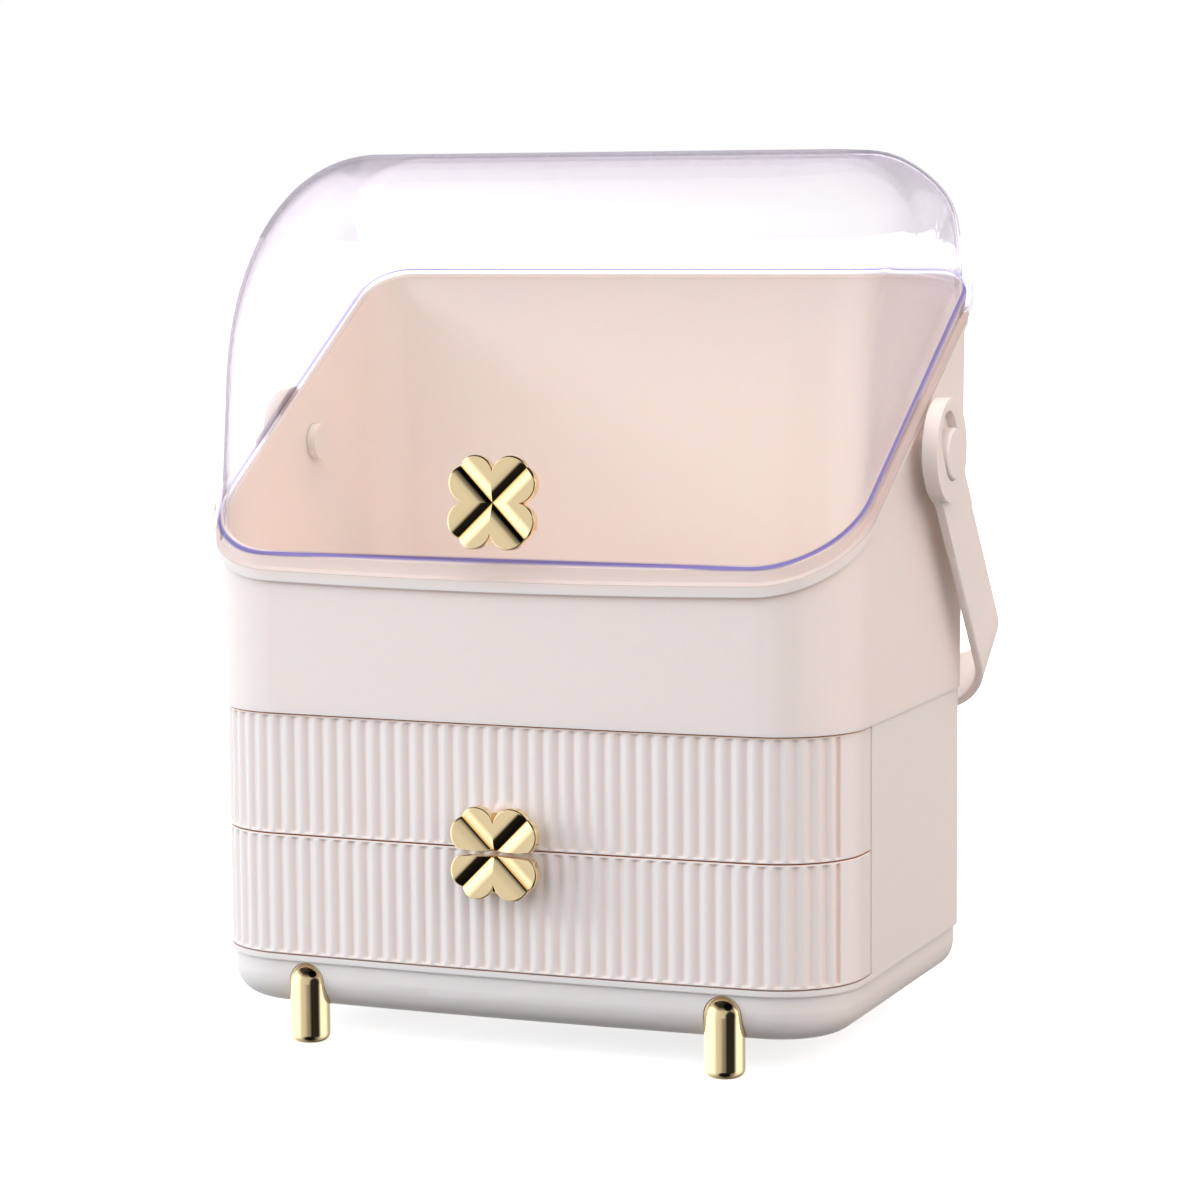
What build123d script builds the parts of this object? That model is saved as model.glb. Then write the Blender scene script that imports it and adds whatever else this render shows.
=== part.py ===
"""Makeup storage case with handle: clear hinged hood, slanted box, two fluted drawers, gold feet.

Frame: X to the right, Y to the rear, Z up. The origin is on the floor, at the centre of the whole footprint,
which runs from the drawer knobs to the strap of the handle behind the case. All sizes are millimetres.
"""
from build123d import *
from math import asin, atan, cos, degrees, hypot, pi, radians, sin, sqrt, tan
import os

os.makedirs("parts", exist_ok=True)

# ---- plan outline shared by base, housing, drawer fronts and box
case_width = 284.0
case_depth = 186.4          # middle of the bowed front to the rear wall
front_bow = 4.2             # the middle of the front stands this far ahead of its sides
front_corner_r = 36.0
rear_corner_r = 16.0

# ---- base tray and feet
base_bottom = 14.6          # underside of the tray above the floor
base_height = 20.2
base_inset = 1.6            # the tray is this much smaller than the housing, all round
base_wall = 2.4
base_edge_r = 13.0
foot_r = 8.4
foot_height = 34.2
foot_edge_r = 3.5           # rounding round the flat sole
foot_spacing = 186.6        # left foot to right foot
foot_sink = 3.0             # the foot's axis lies this far inside the face of the tray
foot_clearance = 0.2
sleeve_wall = 3.0           # tray material beside and behind a foot
foot_screw_level = 22.0
foot_screw_grip = 6.0       # length of the screw inside the foot

# ---- drawer housing and shelf
housing_wall = 2.6
floor_lip = 2.3             # thickness of the housing floor, seen as a lip under the lower drawer
face_gap = 0.5              # gap above, between and below the drawer fronts
wall_front = 48.8           # middle of the front to the front ends of the housing's side walls
wall_front_gap = 0.6        # between those ends and the drawer fronts
ledge_width = 4.0
ledge_height = 3.0
shelf_thick = 2.0
shelf_clearance = 0.7       # between the shelf and the inner face of the lower drawer front

# ---- drawers
face_height = 50.85
face_thick = 3.5            # case outline to the inner face of a drawer front
face_skin = 0.2             # plain parts of the face lie this far inside the case outline
flute_pitch = 6.71
flute_count = 43
flute_depth = 1.0
flute_border = 1.6          # plain band above and below the flutes
tray_wall = 2.0
tray_floor = 2.0
tray_height = 44.0
tray_gap = 0.3              # between tray and drawer front, and under the tray
tray_rear_gap = 16.0        # between the tray and the housing's rear wall
panel_screw_spacing = 120.0
panel_screw_bite = 2.0      # length of the screw inside the drawer front
pad_r = 7.5                 # flat pad under each drawer knob
pad_rise = 0.3

# ---- clover knobs
lobe_r = 8.2
lobe_near = 8.1             # a lobe's centre lies this far from one axis of the clover
lobe_far = 11.9             # and this far from the other
heart_r = 12.4              # disc that joins the lobes
knob_plate = 4.2
knob_edge_r = 1.2
knob_stem_r = 5.2
knob_stem = 8.0
half_knob_gap = 2.0         # between the two drawer knobs
half_stem_rise = 11.5       # a half clover's stem from the middle of that gap
lid_knob_level = 231.0

# ---- upper box
box_wall = 2.4
box_floor = 2.8
box_grow = 0.8              # the box's foot stands out this far from the housing
box_draft = 0.6             # degrees that its walls open upwards
spigot_height = 1.6
spigot_wall = 1.6
spigot_clearance = 0.3
rim_front = 208.8           # height of the slanted flange plane at the middle of the front
rim_slope = 30.9            # degrees
bead_out = 2.2
bead_height = 4.0

# ---- hood (the clear lid), with its flange and the skirt that hangs outside the box
lid_top = 373.8
lid_wall = 2.0
lid_grow = 1.2              # hood wall outside the case outline, at the sides and the rear
lid_front_ahead = 1.4       # hood wall ahead of the middle of the front, at the rim
lid_front_lean = 6.3        # degrees
lid_front_arc_r = 105.0
lid_rear_arc_r = 32.0
lid_edge_r = 38.0
flange_thick = 1.6
rim_gap = 0.3               # between flange and box rim
skirt_out = 3.6             # outer face of the skirt from the box wall
skirt_clearance = 0.5
skirt_height = 5.7
bead_gap = 0.4              # between skirt and bead

# ---- lid hinge
hinge_spacing = 160.0
hinge_drop = 9.6            # axis under the flange plane at the rear wall
hinge_back = 8.4            # axis behind the case outline
knuckle_r = 4.0
knuckle_width = 14.0
ear_thick = 4.0
ear_gap = 0.3
hinge_pin_r = 1.6
running_clearance = 0.05

# ---- handle
pivot_back = 116.0          # pivot behind the middle of the front
pivot_drop = 31.7           # pivot below the flange plane
strap_width = 33.0
strap_thick = 3.8
strap_reach = 138.0         # pivot to the inner face of the grip
strap_bend_r = 28.0
strap_side_gap = 7.2        # between an arm's inner face and the case outline
strap_gap = 3.0             # between the hanging strap and the case outline at the rear
strap_edge_r = 1.4
lobe_end_r = 22.0
lobe_end_up = 2.0           # centre of the round end, up the arm from the pivot
lobe_side_gap = 7.5         # between the round end's inner face and the case outline
lobe_end_thick = 6.6
neck_length = 44.0          # pivot to where the round end has become the strap
grip_rib = 1.0
grip_rib_width = 3.0
grip_rib_count = 3
grip_rib_spacing = 8.0
slot_r = 11.4
slot_length = 9.0
slot_depth = 3.4
relief_r = 4.4
relief_up = 15.4            # relief hole up the arm from the pivot

# ---- handle studs
stud_r = 6.0
stud_head_r = 11.0
stud_head = 4.6
stud_fit = 0.1              # clearance of parts that don't turn
boss_r = 12.0
boss_gap = 0.4              # between the boss on the box and the handle
cap_r = 8.0
cap_thick = 4.0
cap_skin = 1.2

# ---- screws
screw_r = 1.6
screw_head_r = 3.4
screw_head = 1.8
screw_clearance = 0.1
knob_screw_bite = 6.0       # length of the screw inside a knob's stem
base_screw_inset = 34.0
base_screw_seat = 8.0       # seat of the head below the top of the tray
base_screw_skin = 0.5       # housing floor left above these screws
column_r = 5.5
box_screw_spacing = 216.0
box_screw_length = 12.0

# ---- levels and places worked out from the sizes above
half_width = case_width / 2
base_top = base_bottom + base_height
floor_top = base_top + floor_lip
lower_face = floor_top + face_gap
split_level = lower_face + face_height + face_gap / 2
upper_face = lower_face + face_height + face_gap
housing_top = upper_face + face_height + face_gap
shelf_top = lower_face + face_height
shelf_bottom = shelf_top - shelf_thick
strap_half = strap_width / 2
strap_inside = half_width + strap_side_gap
lobe_end_inside = half_width + lobe_side_gap
strap_outer = strap_reach + strap_thick
rest_reach = case_depth - pivot_back + strap_gap
strap_tilt = degrees(asin(rest_reach / hypot(strap_reach, strap_half)) + atan(strap_half / strap_reach))
front_reach = knob_stem + knob_plate + pad_rise
rear_reach = pivot_back + strap_outer * sin(radians(strap_tilt)) + strap_half * cos(radians(strap_tilt))
y_front = (front_reach - rear_reach) / 2
y_rear = y_front + case_depth
y_walls = y_front + wall_front
y_pivot = y_front + pivot_back
tray_rear = y_rear - housing_wall - tray_rear_gap
tray_inset = face_thick + tray_gap
shelf_inset = face_thick + shelf_clearance
rim_rise = tan(radians(rim_slope))
rim_stretch = 1 / cos(radians(rim_slope))
rim_rear = rim_front + rim_rise * case_depth
pivot_height = rim_front + rim_rise * pivot_back - pivot_drop
bead_top = -skirt_height - bead_gap
form_top = rim_rear + 2 * rear_corner_r
y_hinge = y_rear + hinge_back
z_hinge = rim_rear - hinge_drop
far = 2 * case_width        # longer than anything in the case, for cutting blocks
form_margin = 0.02          # keeps faces of forms that are cut with each other from falling together

# ---- the bowed front: a wide arc, joined to the sides by corner arcs
bow_r = (half_width**2 + front_bow**2) / (2 * front_bow)
bow_y = y_front + bow_r
corner_x = half_width - front_corner_r
corner_y = bow_y - sqrt((bow_r - front_corner_r) ** 2 - corner_x**2)
bow_half = asin(corner_x / (bow_r - front_corner_r))
bow_length = bow_r * bow_half


def front_point(travel, grow=0.0):
    """Point on the case outline, travel mm along it from the middle of the front, moved out by grow."""
    side = 1 if travel >= 0 else -1
    if abs(travel) <= bow_length:
        turned = abs(travel) / bow_r
        return (side * (bow_r + grow) * sin(turned), bow_y - (bow_r + grow) * cos(turned))
    turned = bow_half + (abs(travel) - bow_length) / front_corner_r
    out = front_corner_r + grow
    return (side * (corner_x + out * sin(turned)), corner_y - out * cos(turned))


def outline(grow=0.0, mode=Mode.ADD):
    """Draw the case outline in the current sketch, moved out all round by grow (in, if negative)."""
    corner_end = bow_length + front_corner_r * (pi / 2 - bow_half)
    middle = (bow_length + corner_end) / 2
    side_x = half_width + grow
    rear_x = half_width - rear_corner_r
    rear_y = y_rear - rear_corner_r
    rear_out = rear_corner_r + grow
    diagonal = rear_out / sqrt(2)
    with BuildLine() as edge:
        ThreePointArc(front_point(-bow_length, grow), (0, y_front - grow), front_point(bow_length, grow))
        for side in (1, -1):
            ThreePointArc(front_point(side * bow_length, grow), front_point(side * middle, grow),
                          (side * side_x, corner_y))
            Line((side * side_x, corner_y), (side * side_x, rear_y))
            ThreePointArc((side * side_x, rear_y), (side * (rear_x + diagonal), rear_y + diagonal),
                          (side * rear_x, rear_y + rear_out))
        Line((rear_x, rear_y + rear_out), (-rear_x, rear_y + rear_out))
    make_face(edge.edges(), mode=mode)


def upright(grow, low, high, mode=Mode.ADD):
    """Upright block on the case outline between two heights."""
    with BuildSketch(Plane.XY.offset(low)) as section:
        outline(grow)
    extrude(section.sketch, amount=high - low, mode=mode)


def ring(outer, inner, low, high, start, end, mode=Mode.ADD):
    """Upright wall between two offsets of the case outline, kept only from y = start to y = end."""
    with BuildSketch(Plane.XY.offset(low)) as section:
        outline(outer)
        outline(inner, mode=Mode.SUBTRACT)
        with Locations((0, (start + end) / 2)):
            Rectangle(far, end - start, mode=Mode.INTERSECT)
    extrude(section.sketch, amount=high - low, mode=mode)


def slanted(low, high, mode=Mode.INTERSECT):
    """Keep (or cut) what lies between two planes parallel to the flange plane, low and high above it."""
    level = rim_front - rim_rise * (y_front + far)
    climb = 2 * far * rim_rise
    with BuildSketch(Plane.YZ) as band:
        with BuildLine():
            Polyline((-far, level + low * rim_stretch), (far, level + low * rim_stretch + climb),
                     (far, level + high * rim_stretch + climb), (-far, level + high * rim_stretch), close=True)
        make_face()
    extrude(band.sketch, amount=case_width, both=True, mode=mode)


def block(low_corner, high_corner, mode=Mode.ADD):
    """Plain box between two opposite corners."""
    size = [b - a for a, b in zip(low_corner, high_corner)]
    with Locations(low_corner):
        Box(*size, align=(Align.MIN, Align.MIN, Align.MIN), mode=mode)


def bar(place, direction, radius, length, mode=Mode.ADD):
    """Round bar that starts at place and runs length along direction."""
    with Locations(Plane(origin=place, z_dir=direction)):
        Cylinder(radius, length, align=(Align.CENTER, Align.CENTER, Align.MIN), mode=mode)


def screw(place, direction, length):
    """Pan-head screw: place is the middle of the head's seat, direction the way the shank runs."""
    bar(place, direction, screw_r, length)
    bar(place, [-d for d in direction], screw_head_r, screw_head)


def screw_hole(place, direction, length):
    """Clearance hole for a screw with the same place, direction and length."""
    bar(place, direction, screw_r + screw_clearance, length, mode=Mode.SUBTRACT)


def box_growth(height):
    """How far the upper box's outer wall stands outside the case outline at a height."""
    return box_grow + (height - housing_top) * tan(radians(box_draft))


def drafted(grow, low, high):
    """Block on the case outline that follows the upper box's drafted wall, moved out by grow."""
    with BuildPart() as form:
        with BuildSketch(Plane.XY.offset(low)):
            outline(box_growth(low) + grow)
        with BuildSketch(Plane.XY.offset(high)):
            outline(box_growth(high) + grow)
        loft(ruled=True)
    return form.part


def rounded_foot(grow, low, high, edge_r):
    """Upright block on the case outline with its bottom edge rounded."""
    with BuildPart() as form:
        upright(grow, low, high)
        fillet(form.faces().sort_by(Axis.Z)[0].edges(), radius=edge_r)
    return form.part


# ---- base tray -------------------------------------------------------------------------------------------
foot_front_y = front_point(foot_spacing / 2, -base_inset)[1] + foot_sink
foot_rear_y = y_rear - base_inset - foot_sink
foot_x = foot_spacing / 2
foot_places = {"front_left": (-foot_x, foot_front_y, 1), "front_right": (foot_x, foot_front_y, 1),
               "rear_left": (-foot_x, foot_rear_y, -1), "rear_right": (foot_x, foot_rear_y, -1)}
sleeve_half = foot_r + foot_clearance + sleeve_wall
foot_screw_length = sleeve_half - foot_r + foot_screw_grip
base_screw_x = half_width - base_screw_inset
base_screw_ys = (y_front + base_screw_inset, y_rear - base_screw_inset)
base_screw_places = [(x, y) for x in (-base_screw_x, base_screw_x) for y in base_screw_ys]
base_screw_bite = floor_lip - base_screw_skin
base_screw_length = base_screw_seat + base_screw_bite
tray_shell = rounded_foot(-base_inset, base_bottom, base_top, base_edge_r)
tray_hollow = rounded_foot(-base_inset - base_wall, base_bottom + base_wall, base_top + base_wall,
                           base_edge_r - base_wall)

with BuildPart() as tray_space:
    add(tray_hollow)
    for x, y, inward in foot_places.values():
        far_side = y + inward * sleeve_half
        near_side = y - inward * sleeve_half
        block((x - sleeve_half, min(far_side, near_side), base_bottom),
              (x + sleeve_half, max(far_side, near_side), far), mode=Mode.SUBTRACT)
    for x, y in base_screw_places:
        bar((x, y, base_bottom), (0, 0, 1), column_r, far, mode=Mode.SUBTRACT)

with BuildPart() as base_tray:
    add(tray_shell)
    add(tray_space.part, mode=Mode.SUBTRACT)
    for x, y, inward in foot_places.values():
        bar((x, y, 0), (0, 0, 1), foot_r + foot_clearance, foot_height - foot_r, mode=Mode.SUBTRACT)
        with Locations((x, y, foot_height - foot_r)):
            Sphere(foot_r + foot_clearance, mode=Mode.SUBTRACT)
        screw_hole((x, y + inward * sleeve_half, foot_screw_level), (0, -inward, 0), foot_screw_length)
    for x, y in base_screw_places:
        bar((x, y, 0), (0, 0, 1), screw_head_r + screw_clearance, base_top - base_screw_seat, mode=Mode.SUBTRACT)
        screw_hole((x, y, base_bottom), (0, 0, 1), base_height)
base_tray.part.label = "base_tray"
export_step(base_tray.part, "parts/base_tray.step")

# ---- feet ------------------------------------------------------------------------------------------------
for corner, (x, y, inward) in foot_places.items():
    with BuildPart() as foot:
        with BuildSketch(Plane.XZ.offset(-y)) as profile:
            with BuildLine():
                Line((x, 0), (x + foot_r - foot_edge_r, 0))
                TangentArc((x + foot_r - foot_edge_r, 0), (x + foot_r, foot_edge_r), tangent=(1, 0))
                Line((x + foot_r, foot_edge_r), (x + foot_r, foot_height - foot_r))
                TangentArc((x + foot_r, foot_height - foot_r), (x, foot_height), tangent=(0, 1))
                Line((x, foot_height), (x, 0))
            make_face()
        revolve(axis=Axis((x, y, 0), (0, 0, 1)))
        screw_hole((x, y + inward * sleeve_half, foot_screw_level), (0, -inward, 0), foot_screw_length)
    foot.part.label = f"foot_{corner}"
    export_step(foot.part, f"parts/foot_{corner}.step")

with BuildPart() as foot_screws:
    for x, y, inward in foot_places.values():
        screw((x, y + inward * sleeve_half, foot_screw_level), (0, -inward, 0), foot_screw_length)
foot_screws.part.label = "foot_screws"
export_step(foot_screws.part, "parts/foot_screws.step")

with BuildPart() as base_screws:
    for x, y in base_screw_places:
        screw((x, y, base_top - base_screw_seat), (0, 0, 1), base_screw_length)
base_screws.part.label = "base_screws"
export_step(base_screws.part, "parts/base_screws.step")

# ---- drawer housing and shelf ----------------------------------------------------------------------------
box_screw_y = y_rear - housing_wall - column_r
box_screw_places = [(side * box_screw_spacing / 2, box_screw_y) for side in (-1, 1)]

with BuildPart() as drawer_housing:
    upright(0, base_top, floor_top)
    ring(0, -housing_wall, floor_top, housing_top, y_walls, y_rear + 1)
    ring(0, -housing_wall - ledge_width, shelf_bottom - ledge_height, shelf_bottom, y_walls, y_rear + 1)
    for x, y in box_screw_places:
        bar((x, y, floor_top), (0, 0, 1), column_r, housing_top - floor_top)
        block((x - column_r, y, floor_top), (x + column_r, y_rear - housing_wall / 2, housing_top))
        screw_hole((x, y, housing_top), (0, 0, -1), box_screw_length)
    for x, y in base_screw_places:
        screw_hole((x, y, base_top), (0, 0, 1), base_screw_bite + screw_clearance)
drawer_housing.part.label = "drawer_housing"
export_step(drawer_housing.part, "parts/drawer_housing.step")

with BuildPart() as drawer_shelf:
    upright(-shelf_inset, shelf_bottom, shelf_top)
    for x, y in box_screw_places:
        block((x - column_r - shelf_clearance, y - column_r - shelf_clearance, shelf_bottom),
              (x + column_r + shelf_clearance, y_rear, shelf_top), mode=Mode.SUBTRACT)
drawer_shelf.part.label = "drawer_shelf"
export_step(drawer_shelf.part, "parts/drawer_shelf.step")

# ---- drawers ---------------------------------------------------------------------------------------------
flute_end = flute_pitch * flute_count / 2
flute_root = -face_skin - flute_depth
y_flute_end = front_point(flute_end)[1]
y_face_end = y_walls - wall_front_gap
drawers = {"lower": (lower_face, floor_top + tray_gap, split_level - half_stem_rise),
           "upper": (upper_face, shelf_top + tray_gap, split_level + half_stem_rise)}


def panel_screw_places(level):
    """Seats of the screws that hold a drawer front, on the inner face of the tray's front wall."""
    travel = panel_screw_spacing / 2
    return [(*front_point(side * travel, -tray_inset - tray_wall - screw_clearance), level) for side in (-1, 1)]


def fluted_section():
    """Draw the fluted strip of a drawer front: one arc for each flute, closed inside the panel."""
    back = (flute_root - face_thick) / 2
    with BuildLine() as edge:
        for number in range(flute_count):
            start = number * flute_pitch - flute_end
            ThreePointArc(front_point(start, flute_root), front_point(start + flute_pitch / 2, 0),
                          front_point(start + flute_pitch, flute_root))
        for side in (-1, 1):
            bend = (flute_end + bow_length) / 2
            Line(front_point(side * flute_end, flute_root), front_point(side * flute_end, back))
            ThreePointArc(front_point(side * flute_end, back), front_point(side * bend, back),
                          front_point(side * bow_length, back))
        ThreePointArc(front_point(-bow_length, back), (0, y_front - back), front_point(bow_length, back))
    make_face(edge.edges())


panel_screw_length = tray_wall + tray_gap + panel_screw_bite
knob_screw_length = tray_wall + tray_inset + pad_rise + knob_screw_bite

for name, (face_bottom, tray_bottom, knob_level) in drawers.items():
    face_top = face_bottom + face_height
    knob_seat = (0, y_front + tray_inset + tray_wall + screw_clearance, knob_level)
    screw_level = tray_bottom + tray_height / 2

    with BuildPart() as drawer_front:
        ring(flute_root, -face_thick, face_bottom, face_top, y_front - 1, y_face_end)
        ring(-face_skin, flute_root - face_skin, face_bottom, face_bottom + flute_border, y_front - 1, y_face_end)
        ring(-face_skin, flute_root - face_skin, face_top - flute_border, face_top, y_front - 1, y_face_end)
        ring(-face_skin, flute_root - face_skin, face_bottom, face_top, y_flute_end, y_face_end)
        with BuildSketch(Plane.XY.offset(face_bottom + flute_border)) as flutes:
            fluted_section()
        extrude(flutes.sketch, amount=face_height - 2 * flute_border)
        bar((0, y_front - pad_rise, knob_level), (0, 1, 0), pad_r, face_thick)
        screw_hole(knob_seat, (0, -1, 0), knob_screw_length)
        for place in panel_screw_places(screw_level):
            screw_hole(place, (0, -1, 0), panel_screw_length)
    drawer_front.part.label = f"{name}_drawer_front"
    export_step(drawer_front.part, f"parts/{name}_drawer_front.step")

    with BuildPart() as drawer_tray:
        with BuildSketch(Plane.XY.offset(tray_bottom)) as tray_section:
            outline(-tray_inset)
            with Locations((0, tray_rear)):
                Rectangle(far, far, align=(Align.CENTER, Align.MAX), mode=Mode.INTERSECT)
        extrude(tray_section.sketch, amount=tray_height)
        with BuildSketch(Plane.XY.offset(tray_bottom + tray_floor)) as tray_inside:
            outline(-tray_inset - tray_wall)
            with Locations((0, tray_rear - tray_wall)):
                Rectangle(far, far, align=(Align.CENTER, Align.MAX), mode=Mode.INTERSECT)
        extrude(tray_inside.sketch, amount=tray_height, mode=Mode.SUBTRACT)
        screw_hole(knob_seat, (0, -1, 0), knob_screw_length)
        for place in panel_screw_places(screw_level):
            screw_hole(place, (0, -1, 0), panel_screw_length)
    drawer_tray.part.label = f"{name}_drawer_tray"
    export_step(drawer_tray.part, f"parts/{name}_drawer_tray.step")

    with BuildPart() as panel_screws:
        for place in panel_screw_places(screw_level):
            screw(place, (0, -1, 0), panel_screw_length)
    panel_screws.part.label = f"{name}_panel_screws"
    export_step(panel_screws.part, f"parts/{name}_panel_screws.step")

    with BuildPart() as knob_screw:
        screw(knob_seat, (0, -1, 0), knob_screw_length)
    knob_screw.part.label = f"{name}_knob_screw"
    export_step(knob_screw.part, f"parts/{name}_knob_screw.step")


# ---- clover knobs ----------------------------------------------------------------------------------------
def clover(seat_plane, stem_places):
    """Clover plate on round stems; the plane's origin is the clover's middle, its z axis points outwards."""
    with Locations(seat_plane):
        with Locations(*stem_places):
            Cylinder(knob_stem_r, knob_stem, align=(Align.CENTER, Align.CENTER, Align.MIN))
    with BuildSketch(seat_plane.offset(knob_stem)) as plate:
        Circle(heart_r)
        for near, away in ((lobe_near, lobe_far), (lobe_far, lobe_near)):
            with Locations(*[(a * near, b * away) for a in (-1, 1) for b in (-1, 1)]):
                Circle(lobe_r)
    extrude(plate.sketch, amount=knob_plate)


drawer_knob_plane = Plane(origin=(0, y_front - pad_rise, split_level), x_dir=(1, 0, 0), z_dir=(0, -1, 0))
for name, side in (("lower", -1), ("upper", 1)):
    with BuildPart() as drawer_knob:
        clover(drawer_knob_plane, [(0, side * half_stem_rise)])
        fillet(drawer_knob.faces().sort_by(Axis.Y)[0].edges(), radius=knob_edge_r)
        block((-far, -far, split_level - (far if side > 0 else half_knob_gap / 2)),
              (far, far, split_level + (half_knob_gap / 2 if side > 0 else far)), mode=Mode.SUBTRACT)
        screw_hole((0, y_front + tray_inset + tray_wall, split_level + side * half_stem_rise), (0, -1, 0),
                   knob_screw_length)
    drawer_knob.part.label = f"{name}_drawer_knob"
    export_step(drawer_knob.part, f"parts/{name}_drawer_knob.step")

lean = radians(lid_front_lean)
y_lid_front = y_front - lid_front_ahead
y_lid_knob = y_lid_front + (lid_knob_level - rim_front) * tan(lean)
lid_knob_out = (0, -cos(lean), sin(lean))
lid_knob_in = (0, cos(lean), -sin(lean))
lid_knob_plane = Plane(origin=(0, y_lid_knob, lid_knob_level), x_dir=(1, 0, 0), z_dir=lid_knob_out)
lid_screw_seat = (0, y_lid_knob + lid_wall * cos(lean), lid_knob_level - lid_wall * sin(lean))
lid_screw_length = lid_wall + knob_screw_bite

with BuildPart() as lid_knob:
    clover(lid_knob_plane, [(0, 0)])
    fillet(lid_knob.faces().sort_by(Axis(lid_knob_plane.origin, lid_knob_out))[-1].edges(), radius=knob_edge_r)
    screw_hole(lid_screw_seat, lid_knob_out, lid_screw_length)
lid_knob.part.label = "lid_knob"
export_step(lid_knob.part, "parts/lid_knob.step")

with BuildPart() as lid_knob_screw:
    screw(lid_screw_seat, lid_knob_out, lid_screw_length)
lid_knob_screw.part.label = "lid_knob_screw"
export_step(lid_knob_screw.part, "parts/lid_knob_screw.step")

# ---- upper box -------------------------------------------------------------------------------------------
box_outside = drafted(0, housing_top, form_top)
box_inside = drafted(-box_wall, housing_top + box_floor, form_top)
bead_outside = drafted(bead_out, housing_top, form_top)
bead_inside = drafted(-box_wall / 2, housing_top, form_top)
boss_face = lobe_end_inside - boss_gap
wall_at_pivot = half_width + box_growth(pivot_height)
hinge_xs = (-hinge_spacing / 2, hinge_spacing / 2)
ear_shift = knuckle_width / 2 + ear_gap


def hinge_plate(start, width, toward):
    """Plate with a round end on the hinge axis, reaching from the axis towards a (y, z) place."""
    with BuildSketch(Plane.YZ.offset(start)) as plate:
        with Locations((y_hinge, z_hinge)):
            Circle(knuckle_r)
        with Locations(((y_hinge + toward[0]) / 2, (z_hinge + toward[1]) / 2)):
            Rectangle(max(abs(y_hinge - toward[0]), 2 * knuckle_r),
                      max(abs(z_hinge - toward[1]), 2 * knuckle_r))
    extrude(plate.sketch, amount=width)


with BuildPart() as bead_ring:
    add(bead_outside)
    add(bead_inside, mode=Mode.SUBTRACT)
    slanted(bead_top - bead_height, bead_top)
    block((-far, y_rear - rear_corner_r, 0), (far, far, far), mode=Mode.SUBTRACT)
bead = bead_ring.part

with BuildPart() as upper_box:
    add(box_outside)
    slanted(-far, -flange_thick - rim_gap)
    for side in (-1, 1):
        bar((side * (half_width - box_wall), y_pivot, pivot_height), (side, 0, 0), boss_r,
            boss_face - half_width + box_wall)
    for x in hinge_xs:
        for start in (x - ear_shift - ear_thick, x + ear_shift):
            hinge_plate(start, ear_thick, (y_rear, z_hinge))
    add(box_inside, mode=Mode.SUBTRACT)
    add(bead)
    ring(-housing_wall - spigot_clearance, -housing_wall - spigot_clearance - spigot_wall,
         housing_top - spigot_height, housing_top + box_floor / 2, y_walls, y_rear)
    for x, y in box_screw_places:
        block((x - column_r - spigot_clearance, y - column_r, 0),
              (x + column_r + spigot_clearance, y_rear - housing_wall, housing_top), mode=Mode.SUBTRACT)
        screw_hole((x, y, housing_top + box_floor), (0, 0, -1), box_floor)
    for side in (-1, 1):
        bar((side * cap_r, y_pivot, pivot_height), (side, 0, 0), stud_r + stud_fit, half_width + cap_thick,
            mode=Mode.SUBTRACT)
    bar((-hinge_spacing, y_hinge, z_hinge), (1, 0, 0), hinge_pin_r + running_clearance, 2 * hinge_spacing,
        mode=Mode.SUBTRACT)
upper_box.part.label = "upper_box"
export_step(upper_box.part, "parts/upper_box.step")

with BuildPart() as box_screws:
    for x, y in box_screw_places:
        screw((x, y, housing_top + box_floor), (0, 0, -1), box_screw_length)
box_screws.part.label = "box_screws"
export_step(box_screws.part, "parts/box_screws.step")

# ---- hood ------------------------------------------------------------------------------------------------
lid_half = half_width + lid_grow
lid_rear = y_rear + lid_grow


def hood_form(inset):
    """Closed block with the hood's outer shape, moved in by inset; it runs on below the rim."""
    half = lid_half - inset
    rear = lid_rear - inset
    top = lid_top - inset
    bottom = base_top
    front_at_top = y_lid_front + inset / cos(lean) + (top - rim_front) * tan(lean)
    front_at_bottom = y_lid_front + inset / cos(lean) + (bottom - rim_front) * tan(lean)
    with BuildPart() as front_form:
        with BuildSketch(Plane.YZ) as side_view:
            with BuildLine():
                Polyline((front_at_bottom, bottom), (front_at_top, top), (y_rear + far, top),
                         (y_rear + far, bottom), close=True)
            make_face()
            fillet(side_view.vertices().group_by(Axis.Y)[1], radius=lid_front_arc_r - inset)
        extrude(amount=half, both=True)
        sides = front_form.faces().filter_by(Axis.X).edges()
        rounded = sides.filter_by(lambda e: e.center().Z > bottom + 1 and e.center().Y < y_rear + far - 1)
        fillet(rounded, radius=lid_edge_r - inset)
    with BuildPart() as whole_form:
        block((-half - form_margin, -far, base_bottom), (half + form_margin, rear, top + form_margin))
        fillet(whole_form.faces().sort_by(Axis.Y)[-1].edges().sort_by(Axis.Z)[-1:], radius=lid_rear_arc_r - inset)
        sides = whole_form.faces().filter_by(Axis.X).edges()
        rounded = sides.filter_by(lambda e: e.center().Z > bottom and e.center().Y > 1 - far)
        fillet(rounded, radius=rear_corner_r + lid_grow - inset)
        add(front_form.part, mode=Mode.INTERSECT)
    return whole_form.part


hood_outside = hood_form(0)
hood_inside = hood_form(lid_wall)
flange_form = drafted(skirt_out, housing_top, form_top)
skirt_hollow = drafted(skirt_clearance, housing_top, form_top)

with BuildPart() as skirt_ring:
    add(flange_form)
    add(skirt_hollow, mode=Mode.SUBTRACT)
    slanted(-skirt_height, 0)

with BuildPart() as flange_ring:
    add(flange_form)
    slanted(-flange_thick, 0)

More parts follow.
